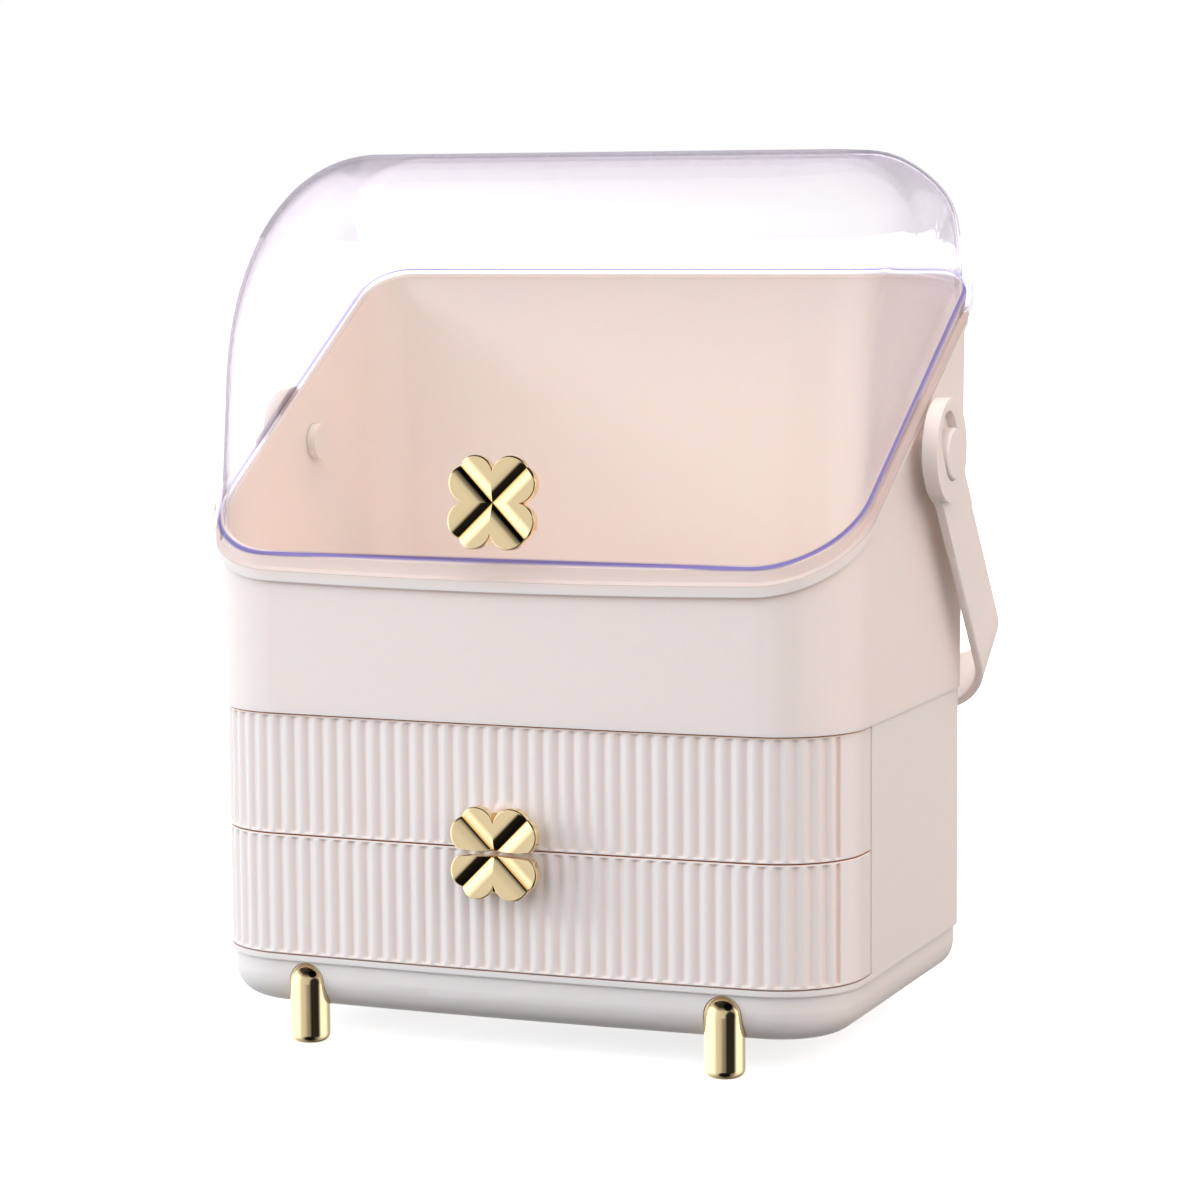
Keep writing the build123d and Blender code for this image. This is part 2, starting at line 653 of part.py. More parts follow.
with BuildPart() as lid_hood:
    add(hood_outside)
    slanted(-flange_thick, far)
    add(flange_ring.part)
    add(hood_inside, mode=Mode.SUBTRACT)
    add(skirt_ring.part)
    for x in hinge_xs:
        hinge_plate(x - knuckle_width / 2, knuckle_width, (y_hinge, rim_rear - skirt_height / 2))
    bar((-hinge_spacing, y_hinge, z_hinge), (1, 0, 0), hinge_pin_r + running_clearance, 2 * hinge_spacing,
        mode=Mode.SUBTRACT)
    screw_hole(lid_screw_seat, lid_knob_out, lid_screw_length)
lid_hood.part.label = "lid_hood"
export_step(lid_hood.part, "parts/lid_hood.step")

with BuildPart() as hinge_pins:
    for x in hinge_xs:
        bar((x - ear_shift - ear_thick, y_hinge, z_hinge), (1, 0, 0), hinge_pin_r, 2 * (ear_shift + ear_thick))
hinge_pins.part.label = "hinge_pins"
export_step(hinge_pins.part, "parts/hinge_pins.step")

# ---- handle ----------------------------------------------------------------------------------------------
tilt = radians(strap_tilt)
arm_up = (0, -sin(tilt), cos(tilt))
strap_plane = Plane(origin=(0, y_pivot, pivot_height), x_dir=(1, 0, 0), z_dir=(0, -cos(tilt), -sin(tilt)))
strap_outside = strap_inside + strap_thick
lobe_outside = lobe_end_inside + lobe_end_thick
slot_floor = lobe_outside - slot_depth


def arm_plane(side, x):
    """Plane at x = side * x with its y axis up the arm and its z axis outwards."""
    return Plane(origin=(side * x, y_pivot, pivot_height),
                 x_dir=(0, side * cos(tilt), side * sin(tilt)), z_dir=(side, 0, 0))


with BuildPart() as handle:
    with BuildSketch(strap_plane.offset(-strap_half)) as strap:
        Rectangle(2 * strap_outside, 2 * strap_outer)
        fillet(strap.vertices().group_by(Axis.Y)[0], radius=strap_bend_r + strap_thick)
        with BuildSketch(mode=Mode.PRIVATE) as inside:
            Rectangle(2 * strap_inside, 2 * strap_reach)
            fillet(inside.vertices().group_by(Axis.Y)[0], radius=strap_bend_r)
        add(inside.sketch, mode=Mode.SUBTRACT)
        with Locations((0, 0)):
            Rectangle(far, far, align=(Align.CENTER, Align.MAX), mode=Mode.INTERSECT)
    extrude(amount=strap_width)
    long_faces = handle.faces().filter_by(Axis(strap_plane.origin, strap_plane.z_dir))
    fillet(long_faces.edges().filter_by(lambda e: e.length > 2 * strap_thick), radius=strap_edge_r)
    for number in range(grip_rib_count):
        shift = (number - (grip_rib_count - 1) / 2) * grip_rib_spacing - grip_rib_width / 2
        with BuildSketch(strap_plane.offset(shift)) as rib:
            with Locations((0, -strap_reach - strap_thick / 2)):
                Rectangle(2 * (strap_inside - strap_bend_r), grip_rib + strap_thick / 2,
                          align=(Align.CENTER, Align.MIN))
        extrude(rib.sketch, amount=grip_rib_width)
    for side in (-1, 1):
        with BuildSketch(arm_plane(side, lobe_end_inside)) as lobe:
            with Locations((0, -neck_length / 2)):
                Rectangle(strap_width, neck_length)
            with Locations((0, lobe_end_up)):
                Circle(lobe_end_r)
            neck = lobe.vertices().filter_by(lambda v: abs(abs(v.X) - strap_half) < 0.01).sort_by(Axis.Y)[-2:]
            fillet(neck, radius=lobe_end_r)
        extrude(lobe.sketch, amount=strap_thick - lobe_end_inside + strap_inside)
        with BuildSketch(arm_plane(side, lobe_end_inside)) as boss:
            with Locations((0, lobe_end_up)):
                Circle(lobe_end_r)
        extrude(boss.sketch, amount=lobe_end_thick)
        with BuildSketch(arm_plane(side, slot_floor)) as slot:
            Circle(slot_r)
            with Locations((0, slot_length)):
                Circle(slot_r)
            with Locations((0, slot_length / 2)):
                Rectangle(2 * slot_r, slot_length)
        extrude(slot.sketch, amount=slot_depth, mode=Mode.SUBTRACT)
        bar((side * strap_inside, y_pivot, pivot_height), (side, 0, 0), stud_r + running_clearance, far,
            mode=Mode.SUBTRACT)
        bar((side * strap_inside, y_pivot + relief_up * arm_up[1], pivot_height + relief_up * arm_up[2]),
            (side, 0, 0), relief_r, far, mode=Mode.SUBTRACT)
handle.part.label = "handle"
export_step(handle.part, "parts/handle.step")

# ---- handle studs and their inner caps -------------------------------------------------------------------
stud_start = slot_floor + stud_fit
cap_face = half_width + box_growth(pivot_height - cap_r) - box_wall - stud_fit
for name, side in (("left", -1), ("right", 1)):
    with BuildPart() as stud:
        bar((side * (cap_face - cap_thick + cap_skin), y_pivot, pivot_height), (side, 0, 0), stud_r,
            stud_start - cap_face + cap_thick - cap_skin)
        bar((side * stud_start, y_pivot, pivot_height), (side, 0, 0), stud_head_r, stud_head)
        fillet(stud.faces().sort_by(Axis.X)[-1 if side > 0 else 0].edges(), radius=knob_edge_r)
    stud.part.label = f"handle_stud_{name}"
    export_step(stud.part, f"parts/handle_stud_{name}.step")

    with BuildPart() as cap:
        bar((side * cap_face, y_pivot, pivot_height), (-side, 0, 0), cap_r, cap_thick)
        bar((side * cap_face, y_pivot, pivot_height), (-side, 0, 0), stud_r + stud_fit, cap_thick - cap_skin,
            mode=Mode.SUBTRACT)
    cap.part.label = f"stud_cap_{name}"
    export_step(cap.part, f"parts/stud_cap_{name}.step")
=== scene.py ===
# %% [markdown]
# # Makeup storage case with handle
# A cream plastic case stands on gold feet. It has two fluted drawers, a slanted box above them, a clear
# domed hood on a rear hinge and a strap handle that hangs back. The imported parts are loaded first, and
# most of them only get a finish here. The hood, the clover knobs and the fluted drawer fronts live by
# their curvature, so they are worked out again as smooth surfaces.

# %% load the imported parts
import bpy
import numpy as np
from math import radians, sin, cos, tan, pi
from mathutils import Matrix, Vector


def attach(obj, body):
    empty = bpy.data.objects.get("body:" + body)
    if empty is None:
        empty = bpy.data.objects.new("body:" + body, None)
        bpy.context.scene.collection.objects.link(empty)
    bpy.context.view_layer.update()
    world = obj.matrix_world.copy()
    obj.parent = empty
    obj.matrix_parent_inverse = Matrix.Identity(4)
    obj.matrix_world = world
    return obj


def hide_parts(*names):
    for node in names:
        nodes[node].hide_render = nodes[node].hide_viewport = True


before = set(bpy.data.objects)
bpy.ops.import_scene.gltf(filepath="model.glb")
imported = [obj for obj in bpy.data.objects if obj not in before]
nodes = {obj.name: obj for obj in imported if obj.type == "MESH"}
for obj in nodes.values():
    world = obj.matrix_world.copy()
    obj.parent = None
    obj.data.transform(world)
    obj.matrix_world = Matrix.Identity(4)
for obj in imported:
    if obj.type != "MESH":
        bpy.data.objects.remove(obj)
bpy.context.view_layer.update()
MM = 0.001

# %% [markdown]
# ## Camera
# The photograph was taken from the right of the front with a long lens, a little above the case. The place
# and turn below come from a least-squares fit of the case's seams and edges, so that outlines land where
# they do in the photograph. A camera looks along its own -Z axis, so its matrix holds the right, up and
# backward directions as columns.

# %% the camera of the photograph
CAMERA_PLACE = Vector((0.5892, -1.4591, 0.3539))
CAMERA_YAW = 21.936
CAMERA_PITCH = 6.273
CAMERA_ROLL = -0.412
LENS = 109.58


def photo_camera():
    """Camera whose backward direction is turned by yaw from the front and raised by pitch, then rolled."""
    yaw, pitch, roll = radians(CAMERA_YAW), radians(CAMERA_PITCH), radians(CAMERA_ROLL)
    back = Vector((sin(yaw) * cos(pitch), -cos(yaw) * cos(pitch), sin(pitch)))
    level = Vector((cos(yaw), sin(yaw), 0.0))
    raised = back.cross(level)
    right = level * cos(roll) + raised * sin(roll)
    up = raised * cos(roll) - level * sin(roll)
    data = bpy.data.cameras.new("photo_camera")
    data.lens = LENS
    data.sensor_width = 36.0
    camera = bpy.data.objects.new("photo_camera", data)
    turn = Matrix((right, up, back)).transposed().to_4x4()
    camera.matrix_world = Matrix.Translation(CAMERA_PLACE) @ turn
    bpy.context.scene.collection.objects.link(camera)
    bpy.context.scene.camera = camera
    return camera


camera = photo_camera()
bpy.context.scene.view_settings.view_transform = "Standard"
print("camera at", [round(value, 3) for value in CAMERA_PLACE], "lens", round(camera.data.lens, 2))

# %% [markdown]
# ## Studio
# The photograph is a cut-out on white, so the floor and the room are white to the camera. The plastic is
# lit evenly, a little cooler from the left and warmer from the right, and hardly at all from below.
# Polished gold shows little but what it reflects, and in an all-white room it would look like chalk. So it
# gets a room of its own: bright walls at the left and the right, a dimmer one behind the camera, a dark
# ceiling and three dark spots. Real walls would shade the case and would have to be hidden from the
# camera. Here one world tells the kinds of rays apart, and only mirror-like reflections see that room.

# %% floor
FLOOR_REACH = 30.0
FLOOR_GLOW = 0.72
FLOOR_SHADE = (0.06, 0.055, 0.055)


def studio_floor():
    """One large square on the floor: white to the camera, and dark as a source of light from below."""
    mesh = bpy.data.meshes.new("studio_floor")
    corners = [(x * FLOOR_REACH, y * FLOOR_REACH, 0) for x, y in ((-1, -1), (1, -1), (1, 1), (-1, 1))]
    mesh.from_pydata(corners, [], [(0, 1, 2, 3)])
    floor = bpy.data.objects.new("studio_floor", mesh)
    bpy.context.scene.collection.objects.link(floor)
    paint = bpy.data.materials.new("pale_floor")
    paint.use_nodes = True
    tree = paint.node_tree
    shader = tree.nodes["Principled BSDF"]
    shader.inputs["Base Color"].default_value = (0.90, 0.90, 0.90, 1)
    shader.inputs["Roughness"].default_value = 0.9
    shader.inputs["Specular IOR Level"].default_value = 0.0
    shader.inputs["Emission Color"].default_value = (1, 1, 1, 1)
    shader.inputs["Emission Strength"].default_value = FLOOR_GLOW
    shade = tree.nodes.new("ShaderNodeBsdfDiffuse")
    shade.inputs["Color"].default_value = (*FLOOR_SHADE, 1)
    path = tree.nodes.new("ShaderNodeLightPath")
    mix = tree.nodes.new("ShaderNodeMixShader")
    tree.links.new(path.outputs["Is Diffuse Ray"], mix.inputs["Fac"])
    tree.links.new(shader.outputs["BSDF"], mix.inputs[1])
    tree.links.new(shade.outputs["BSDF"], mix.inputs[2])
    tree.links.new(mix.outputs["Shader"], tree.nodes["Material Output"].inputs["Surface"])
    mesh.materials.append(paint)
    floor.visible_glossy = False
    return floor


studio_floor()

# %% two helpers for node trees


def grey_ramp(tree, source, stops):
    """Colour ramp node with the given (position, value) stops, fed by a socket."""
    ramp = tree.nodes.new("ShaderNodeValToRGB")
    elements = ramp.color_ramp.elements
    elements[0].position, elements[1].position = stops[0][0], stops[-1][0]
    for position, value in stops[1:-1]:
        elements.new(position)
    for element, (position, value) in zip(elements, stops):
        element.color = (value, value, value, 1)
    tree.links.new(source, ramp.inputs["Fac"])
    return ramp.outputs["Color"]


def math_node(tree, operation, *values):
    """Math node whose inputs are sockets or numbers; returns its output."""
    node = tree.nodes.new("ShaderNodeMath")
    node.operation = operation
    for socket, value in zip(node.inputs, values):
        if isinstance(value, (int, float)):
            socket.default_value = value
        else:
            tree.links.new(value, socket)
    return node.outputs[0]


# %% room
COOL_SIDE = (1.44, 1.56, 1.72)
WARM_SIDE = (1.58, 1.26, 1.12)
WARM_AIM = (0.75, 0.66, 0.0)
# brightness by compass direction: the rear is 0 and 1, the left 0.25, the front 0.5, the right 0.75
AROUND = ((0.00, 0.60), (0.10, 1.50), (0.36, 1.80), (0.43, 0.80), (0.53, 0.62), (0.62, 0.55), (0.72, 0.45),
          (0.76, 1.50), (0.84, 1.50), (0.92, 0.50), (1.00, 0.60))
# brightness by height: straight down is 0, the horizon 0.5, straight up 1
UPWARDS = ((0.00, 0.10), (0.15, 0.45), (0.30, 0.85), (0.42, 1.00), (0.71, 1.00), (0.80, 0.35), (0.87, 0.03),
           (1.00, 0.03))
# each dark spot: its direction, the cosines at which it starts and is darkest, and its brightness there
DARK_SPOTS = (((0.79, -0.61, -0.05), 0.84, 0.93, 0.05), ((0.25, -0.70, -0.67), 0.82, 0.92, 0.03),
              ((0.50, -0.45, 0.74), 0.90, 0.95, 0.03))


def studio_room():
    """World: white to the camera, soft two-tone light for matt surfaces, a contrasty room for mirrors.

    The two-tone light blends from the cool to the warm side with the direction's share along WARM_AIM. The
    mirror room is the product of one brightness for the compass direction, one for the height above or below
    the horizon, and one for each dark spot.
    """
    world = bpy.data.worlds.new("studio_room")
    bpy.context.scene.world = world
    world.use_nodes = True
    tree = world.node_tree
    link = tree.links.new
    place = tree.nodes.new("ShaderNodeTexCoord").outputs["Generated"]
    parts = tree.nodes.new("ShaderNodeSeparateXYZ")
    link(place, parts.inputs[0])
    backward = math_node(tree, "MULTIPLY", parts.outputs["Y"], -1.0)
    turned = math_node(tree, "ARCTAN2", parts.outputs["X"], backward)
    compass = math_node(tree, "MULTIPLY_ADD", turned, 0.5 / pi, 0.5)
    height = math_node(tree, "MULTIPLY_ADD", parts.outputs["Z"], 0.5, 0.5)
    around = grey_ramp(tree, compass, AROUND)
    upwards = grey_ramp(tree, height, UPWARDS)
    mirror_room = math_node(tree, "MULTIPLY", around, upwards)
    for direction, starts, ends, darkness in DARK_SPOTS:
        aim = tree.nodes.new("ShaderNodeVectorMath")
        aim.operation = "DOT_PRODUCT"
        aim.inputs[1].default_value = Vector(direction).normalized()
        link(place, aim.inputs[0])
        stops = ((0.0, 1.0), (starts, 1.0), (ends, darkness), (1.0, darkness))
        spot = grey_ramp(tree, aim.outputs["Value"], stops)
        mirror_room = math_node(tree, "MULTIPLY", mirror_room, spot)
    warm = tree.nodes.new("ShaderNodeVectorMath")
    warm.operation = "DOT_PRODUCT"
    warm.inputs[1].default_value = WARM_AIM
    link(place, warm.inputs[0])
    sideways = math_node(tree, "MULTIPLY_ADD", warm.outputs["Value"], 0.5, 0.5)
    soft_light = tree.nodes.new("ShaderNodeMix")
    soft_light.data_type = "RGBA"
    soft_light.inputs["A"].default_value = (*COOL_SIDE, 1)
    soft_light.inputs["B"].default_value = (*WARM_SIDE, 1)
    link(sideways, soft_light.inputs["Factor"])
    path = tree.nodes.new("ShaderNodeLightPath")
    lit = tree.nodes.new("ShaderNodeMix")
    lit.data_type = "RGBA"
    lit.inputs["A"].default_value = (1, 1, 1, 1)
    link(path.outputs["Is Diffuse Ray"], lit.inputs["Factor"])
    link(soft_light.outputs["Result"], lit.inputs["B"])
    seen = tree.nodes.new("ShaderNodeMix")
    seen.data_type = "RGBA"
    link(path.outputs["Is Glossy Ray"], seen.inputs["Factor"])
    link(lit.outputs["Result"], seen.inputs["A"])
    link(mirror_room, seen.inputs["B"])
    link(seen.outputs["Result"], tree.nodes["Background"].inputs["Color"])
    return world


studio_room()

# %% lamps


def soft_lamp(name, place, target, size, power, colour):
    """Square area lamp at place, turned so that it shines at target; mirrors don't show it."""
    data = bpy.data.lights.new(name, "AREA")
    data.size = size
    data.energy = power
    data.color = colour
    lamp = bpy.data.objects.new(name, data)
    lamp.location = place
    lamp.rotation_euler = (Vector(target) - Vector(place)).to_track_quat("-Z", "Y").to_euler()
    lamp.visible_glossy = False
    lamp.visible_transmission = False
    bpy.context.scene.collection.objects.link(lamp)
    return lamp


left_window = soft_lamp("left_window", place=(-1.9, -0.85, 0.75), target=(0, 0, 0.18), size=0.6, power=13,
                        colour=(0.96, 0.99, 1.0))
top_window = soft_lamp("top_window", place=(0.05, 0.0, 1.7), target=(0, 0, 0.2), size=0.6, power=5,
                       colour=(1.0, 0.80, 0.60))
print("lamps", left_window.data.energy, top_window.data.energy, "watts")

# %% [markdown]
# ## Finishes
# The case is moulded in cream plastic with a satin face, the drawer fronts are glossier, and the feet and
# knobs are polished gold. Every finish is built from nodes. Moulded plastic is never perfectly even, so
# its roughness wanders a little and a faint waviness bends its reflections. Several finishes use this, so
# it is one shader group. The group also tells open surfaces from gaps and grooves, and there the fluted
# fronts get a painted warm shade in their colour.

# %% shared skin of moulded surfaces
CREVICE_REACH = 0.004
# painted shade: the warm dark colour laid into gaps and grooves of the fluted fronts
CREVICE_PAINTED_SHADE = (0.78, 0.36, 0.13)


def moulded_skin_group():
    """Group: slow noise on Object coordinates gives a roughness and a faint bump normal.

    Its third output is 1 where a surface lies open and falls to 0 in gaps and grooves. It is the mask
    of the painted shade in those gaps and grooves.
    """
    group = bpy.data.node_groups.new("moulded_skin", "ShaderNodeTree")
    for label, value in (("Roughness", 0.35), ("Wander", 0.08), ("Scale", 60.0), ("Height", 0.02)):
        socket = group.interface.new_socket(label, in_out="INPUT", socket_type="NodeSocketFloat")
        socket.default_value = value
    group.interface.new_socket("Roughness", in_out="OUTPUT", socket_type="NodeSocketFloat")
    group.interface.new_socket("Normal", in_out="OUTPUT", socket_type="NodeSocketVector")
    group.interface.new_socket("Openness", in_out="OUTPUT", socket_type="NodeSocketFloat")
    inside = group.nodes.new("NodeGroupInput")
    outside = group.nodes.new("NodeGroupOutput")
    place = group.nodes.new("ShaderNodeTexCoord")
    noise = group.nodes.new("ShaderNodeTexNoise")
    noise.inputs["Detail"].default_value = 3
    centred = group.nodes.new("ShaderNodeMath")
    centred.operation = "SUBTRACT"
    centred.inputs[1].default_value = 0.5
    wander = group.nodes.new("ShaderNodeMath")
    wander.operation = "MULTIPLY_ADD"
    bump = group.nodes.new("ShaderNodeBump")
    bump.inputs["Distance"].default_value = 0.002
    # ambient occlusion: the mask that places the painted shade in gaps and grooves
    hollow = group.nodes.new("ShaderNodeAmbientOcclusion")
    hollow.samples = 8
    hollow.inputs["Distance"].default_value = CREVICE_REACH
    link = group.links.new
    link(hollow.outputs["AO"], outside.inputs["Openness"])
    link(place.outputs["Object"], noise.inputs["Vector"])
    link(inside.outputs["Scale"], noise.inputs["Scale"])
    link(noise.outputs["Fac"], centred.inputs[0])
    link(centred.outputs[0], wander.inputs[0])
    link(inside.outputs["Wander"], wander.inputs[1])
    link(inside.outputs["Roughness"], wander.inputs[2])
    link(noise.outputs["Fac"], bump.inputs["Height"])
    link(inside.outputs["Height"], bump.inputs["Strength"])
    link(wander.outputs[0], outside.inputs["Roughness"])
    link(bump.outputs["Normal"], outside.inputs["Normal"])
    return group


moulded_skin = moulded_skin_group()


def plain_material(name, colour, roughness, wander, scale, height, painted_crevice_shade=None, **settings):
    """Principled material with a plain colour and the moulded skin's roughness and normal.

    A painted shade colour, where one is given, takes over in gaps and grooves.
    """
    paint = bpy.data.materials.new(name)
    paint.use_nodes = True
    tree = paint.node_tree
    shader = tree.nodes["Principled BSDF"]
    shader.inputs["Base Color"].default_value = (*colour, 1)
    for socket, value in settings.items():
        shader.inputs[socket.replace("_", " ")].default_value = value
    skin = tree.nodes.new("ShaderNodeGroup")
    skin.node_tree = moulded_skin
    skin.inputs["Roughness"].default_value = roughness
    skin.inputs["Wander"].default_value = wander
    skin.inputs["Scale"].default_value = scale
    skin.inputs["Height"].default_value = height
    tree.links.new(skin.outputs["Roughness"], shader.inputs["Roughness"])
    tree.links.new(skin.outputs["Normal"], shader.inputs["Normal"])
    # painted shade: the darker colour takes over where the occlusion mask falls in gaps and grooves
    if painted_crevice_shade:
        shade = tree.nodes.new("ShaderNodeMix")
        shade.data_type = "RGBA"
        shade.inputs["A"].default_value = (*painted_crevice_shade, 1)
        shade.inputs["B"].default_value = (*colour, 1)
        tree.links.new(skin.outputs["Openness"], shade.inputs["Factor"])
        tree.links.new(shade.outputs["Result"], shader.inputs["Base Color"])
    return paint


# %% the finishes of this case
WARM_DEPTH = (1.0, 0.5, 0.3)
cream_plastic = plain_material("cream_plastic", (0.86, 0.80, 0.765), roughness=0.38, wander=0.10, scale=60,
                               height=0.03, Subsurface_Weight=0.3, Subsurface_Scale=0.006,
                               Subsurface_Radius=WARM_DEPTH)
# the fluted fronts get painted shade in their gaps and grooves
fluted_plastic = plain_material("fluted_plastic", (0.865, 0.815, 0.79), roughness=0.24, wander=0.08, scale=80,
                                height=0.02, painted_crevice_shade=CREVICE_PAINTED_SHADE, Subsurface_Weight=0.2,
                                Subsurface_Scale=0.003, Subsurface_Radius=WARM_DEPTH)
polished_gold = plain_material("polished_gold", (0.95, 0.755, 0.45), roughness=0.05, wander=0.03, scale=90,
                               height=0.01, Metallic=1.0)
plain_steel = plain_material("plain_steel", (0.60, 0.60, 0.61), roughness=0.30, wander=0.10, scale=400,
                             height=0.05, Metallic=1.0)

# %% [markdown]
# The hood is clear plastic. A plain glass shader would bend what is seen through its thin wall too much,
# and would leave the inside of the case dark. So its index is close to that of air, soft light reaches the
# inside through a transparent shader, and the wall darkens only where it is seen edge-on.

# %% clear plastic
CLEAR_TINT = (0.975, 0.965, 0.975)
# painted light: the blue of the line at the root of the hood's wall, where the moulding gathers light
RIM_LINE_PAINTED_LIGHT = (0.07, 0.07, 0.50)
PASSING_TINT = (0.915, 0.885, 0.865)


def see_through_paint(name, edge_colour, edge_power):
    """Clear plastic: a weak glass that gives way to a tinted transparent shader where it turns edge-on.

    The share of that shader is how far the surface turns away from the eye, raised to edge_power. Lamp
    light and light between surfaces pass straight through and come out a little warmer. The vertex
    attribute painted_rim_light marks the root of the hood's wall, where a blue line of painted light
    stands for the light that the moulding gathers there.
    """
    paint = bpy.data.materials.new(name)
    paint.use_nodes = True
    tree = paint.node_tree
    link = tree.links.new
    shader = tree.nodes["Principled BSDF"]
    shader.inputs["Roughness"].default_value = 0.0
    shader.inputs["IOR"].default_value = 1.04
    shader.inputs["Transmission Weight"].default_value = 1.0
    shader.inputs["Coat Weight"].default_value = 0.3
    shader.inputs["Coat Roughness"].default_value = 0.02
    # the mask of the painted light line mixes blue into the clear plastic's base colour
    line = tree.nodes.new("ShaderNodeAttribute")
    line.attribute_name = "painted_rim_light"
    tint_and_painted_light = tree.nodes.new("ShaderNodeMix")
    tint_and_painted_light.data_type = "RGBA"
    tint_and_painted_light.inputs["A"].default_value = (*CLEAR_TINT, 1)
    tint_and_painted_light.inputs["B"].default_value = (*RIM_LINE_PAINTED_LIGHT, 1)
    link(line.outputs["Fac"], tint_and_painted_light.inputs["Factor"])
    link(tint_and_painted_light.outputs["Result"], shader.inputs["Base Color"])
    turned = tree.nodes.new("ShaderNodeLayerWeight")
    turned.inputs["Blend"].default_value = 0.5
    away = math_node(tree, "POWER", turned.outputs["Facing"], edge_power)
    edge = tree.nodes.new("ShaderNodeBsdfTransparent")
    edge.inputs["Color"].default_value = (*edge_colour, 1)
    seen = tree.nodes.new("ShaderNodeMixShader")
    link(away, seen.inputs["Fac"])
    link(shader.outputs["BSDF"], seen.inputs[1])
    link(edge.outputs["BSDF"], seen.inputs[2])
    passing = tree.nodes.new("ShaderNodeBsdfTransparent")
    passing.inputs["Color"].default_value = (*PASSING_TINT, 1)
    path = tree.nodes.new("ShaderNodeLightPath")
    soft = math_node(tree, "MAXIMUM", path.outputs["Is Shadow Ray"], path.outputs["Is Diffuse Ray"])
    mix = tree.nodes.new("ShaderNodeMixShader")
    link(soft, mix.inputs["Fac"])
    link(seen.outputs["Shader"], mix.inputs[1])
    link(passing.outputs["BSDF"], mix.inputs[2])
    link(mix.outputs["Shader"], tree.nodes["Material Output"].inputs["Surface"])
    return paint


clear_hood = see_through_paint("clear_hood", edge_colour=(0.68, 0.65, 0.71), edge_power=2.6)

# %% [markdown]
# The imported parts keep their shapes. Their names say what they are, so one function tells the finish of
# each from its name, and no part has to be listed.

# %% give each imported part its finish


def finish_of(node):
    """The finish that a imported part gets, from its name."""
    if node == "lid_hood":
        return clear_hood
    if "screw" in node or node == "hinge_pins":
        return plain_steel
    if node.startswith("foot_") or node.endswith("knob"):
        return polished_gold
    if node.endswith("drawer_front"):
        return fluted_plastic
    return cream_plastic


for node, part in nodes.items():
    part.data.materials.clear()
    part.data.materials.append(finish_of(node))
print("finishes given to", len(nodes), "parts")

# %% [markdown]
# ## Tools for worked-out surfaces
# New pieces are grids of points in millimetres, worked out as whole arrays. Grids that share a border are
# welded into one closed mesh. A closed mesh whose volume comes out negative is turned inside out, so that
# its faces look outwards whichever way its grids were laid.

# %% from grids of points to a piece
WELD_DIGITS = 4


def grid_faces(rows, columns):
    """Corner numbers of the quads between neighbouring points of a rows x columns grid."""
    first = np.arange(rows - 1)[:, None] * columns + np.arange(columns - 1)[None, :]
    return np.stack([first, first + 1, first + columns + 1, first + columns], axis=-1).reshape(-1, 4)


def welded(grids):
    """Points, quads and triangles of several grids with equal points joined.

    A quad that loses a corner to its neighbour becomes a triangle, and one that loses two is dropped.
    """
    points = np.concatenate([grid.reshape(-1, 3) for grid in grids])
    starts = np.cumsum([0] + [grid.shape[0] * grid.shape[1] for grid in grids[:-1]])
    quads = np.concatenate([grid_faces(*grid.shape[:2]) + start for grid, start in zip(grids, starts)])
    rounded = np.round(points, WELD_DIGITS)
    _, first, number = np.unique(rounded, axis=0, return_index=True, return_inverse=True)
    quads = number.reshape(-1)[quads]
    joined = quads == np.roll(quads, -1, axis=1)
    whole = quads[joined.sum(axis=1) == 0]
    corner = np.argmax(joined, axis=1)
    turned = np.take_along_axis(quads, (corner[:, None] + np.arange(1, 4)) % 4, axis=1)
    return points[first], whole, turned[joined.sum(axis=1) == 1]


def piece_from(name, grids, finish, body, sharp=40.0, line=None):
    """Welded, smooth-shaded piece at the origin that rides a body.

    Edges bent by more than sharp degrees stay crisp. The volume's sign is that of the sum, over all
    triangles, of one corner times the cross product of the other two. The function line, where one is given,
    works out the attribute painted_rim_light from the points: the mask of a line of painted light.
    """
    points, quads, triangles = welded(grids)
    fans = np.concatenate([quads[:, [0, 1, 2]], quads[:, [0, 2, 3]], triangles])
    first, second, third = (points[fans[:, corner]] for corner in range(3))
    if np.einsum("ij,ij->i", first, np.cross(second, third)).sum() < 0:
        quads, triangles = quads[:, ::-1], triangles[:, ::-1]
    mesh = bpy.data.meshes.new(name)
    mesh.from_pydata((points * MM).tolist(), [], quads.tolist() + triangles.tolist())
    mesh.polygons.foreach_set("use_smooth", np.ones(len(mesh.polygons), dtype=bool))
    mesh.set_sharp_from_angle(angle=radians(sharp))
    if line is not None:
        values = mesh.attributes.new("painted_rim_light", "FLOAT", "POINT")
        values.data.foreach_set("value", line(points).astype(np.float32))
    mesh.materials.append(finish)
    piece = bpy.data.objects.new(name, mesh)
    bpy.context.scene.collection.objects.link(piece)
    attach(piece, body)
    print(name, len(mesh.vertices), "points", len(mesh.polygons), "faces")
    return piece


def part_box(node):
    """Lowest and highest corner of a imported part, in millimetres."""
    corners = np.array([nodes[node].matrix_world @ Vector(corner) for corner in nodes[node].bound_box]) / MM
    return corners.min(axis=0), corners.max(axis=0)


# %% [markdown]
# ## Sizes of the case
# The case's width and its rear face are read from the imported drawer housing, so that new pieces fit the
# old ones. The other sizes are those of the moulded outline: a front that bows out a little, wide front
# corners, and a rim plane that rises to the rear.

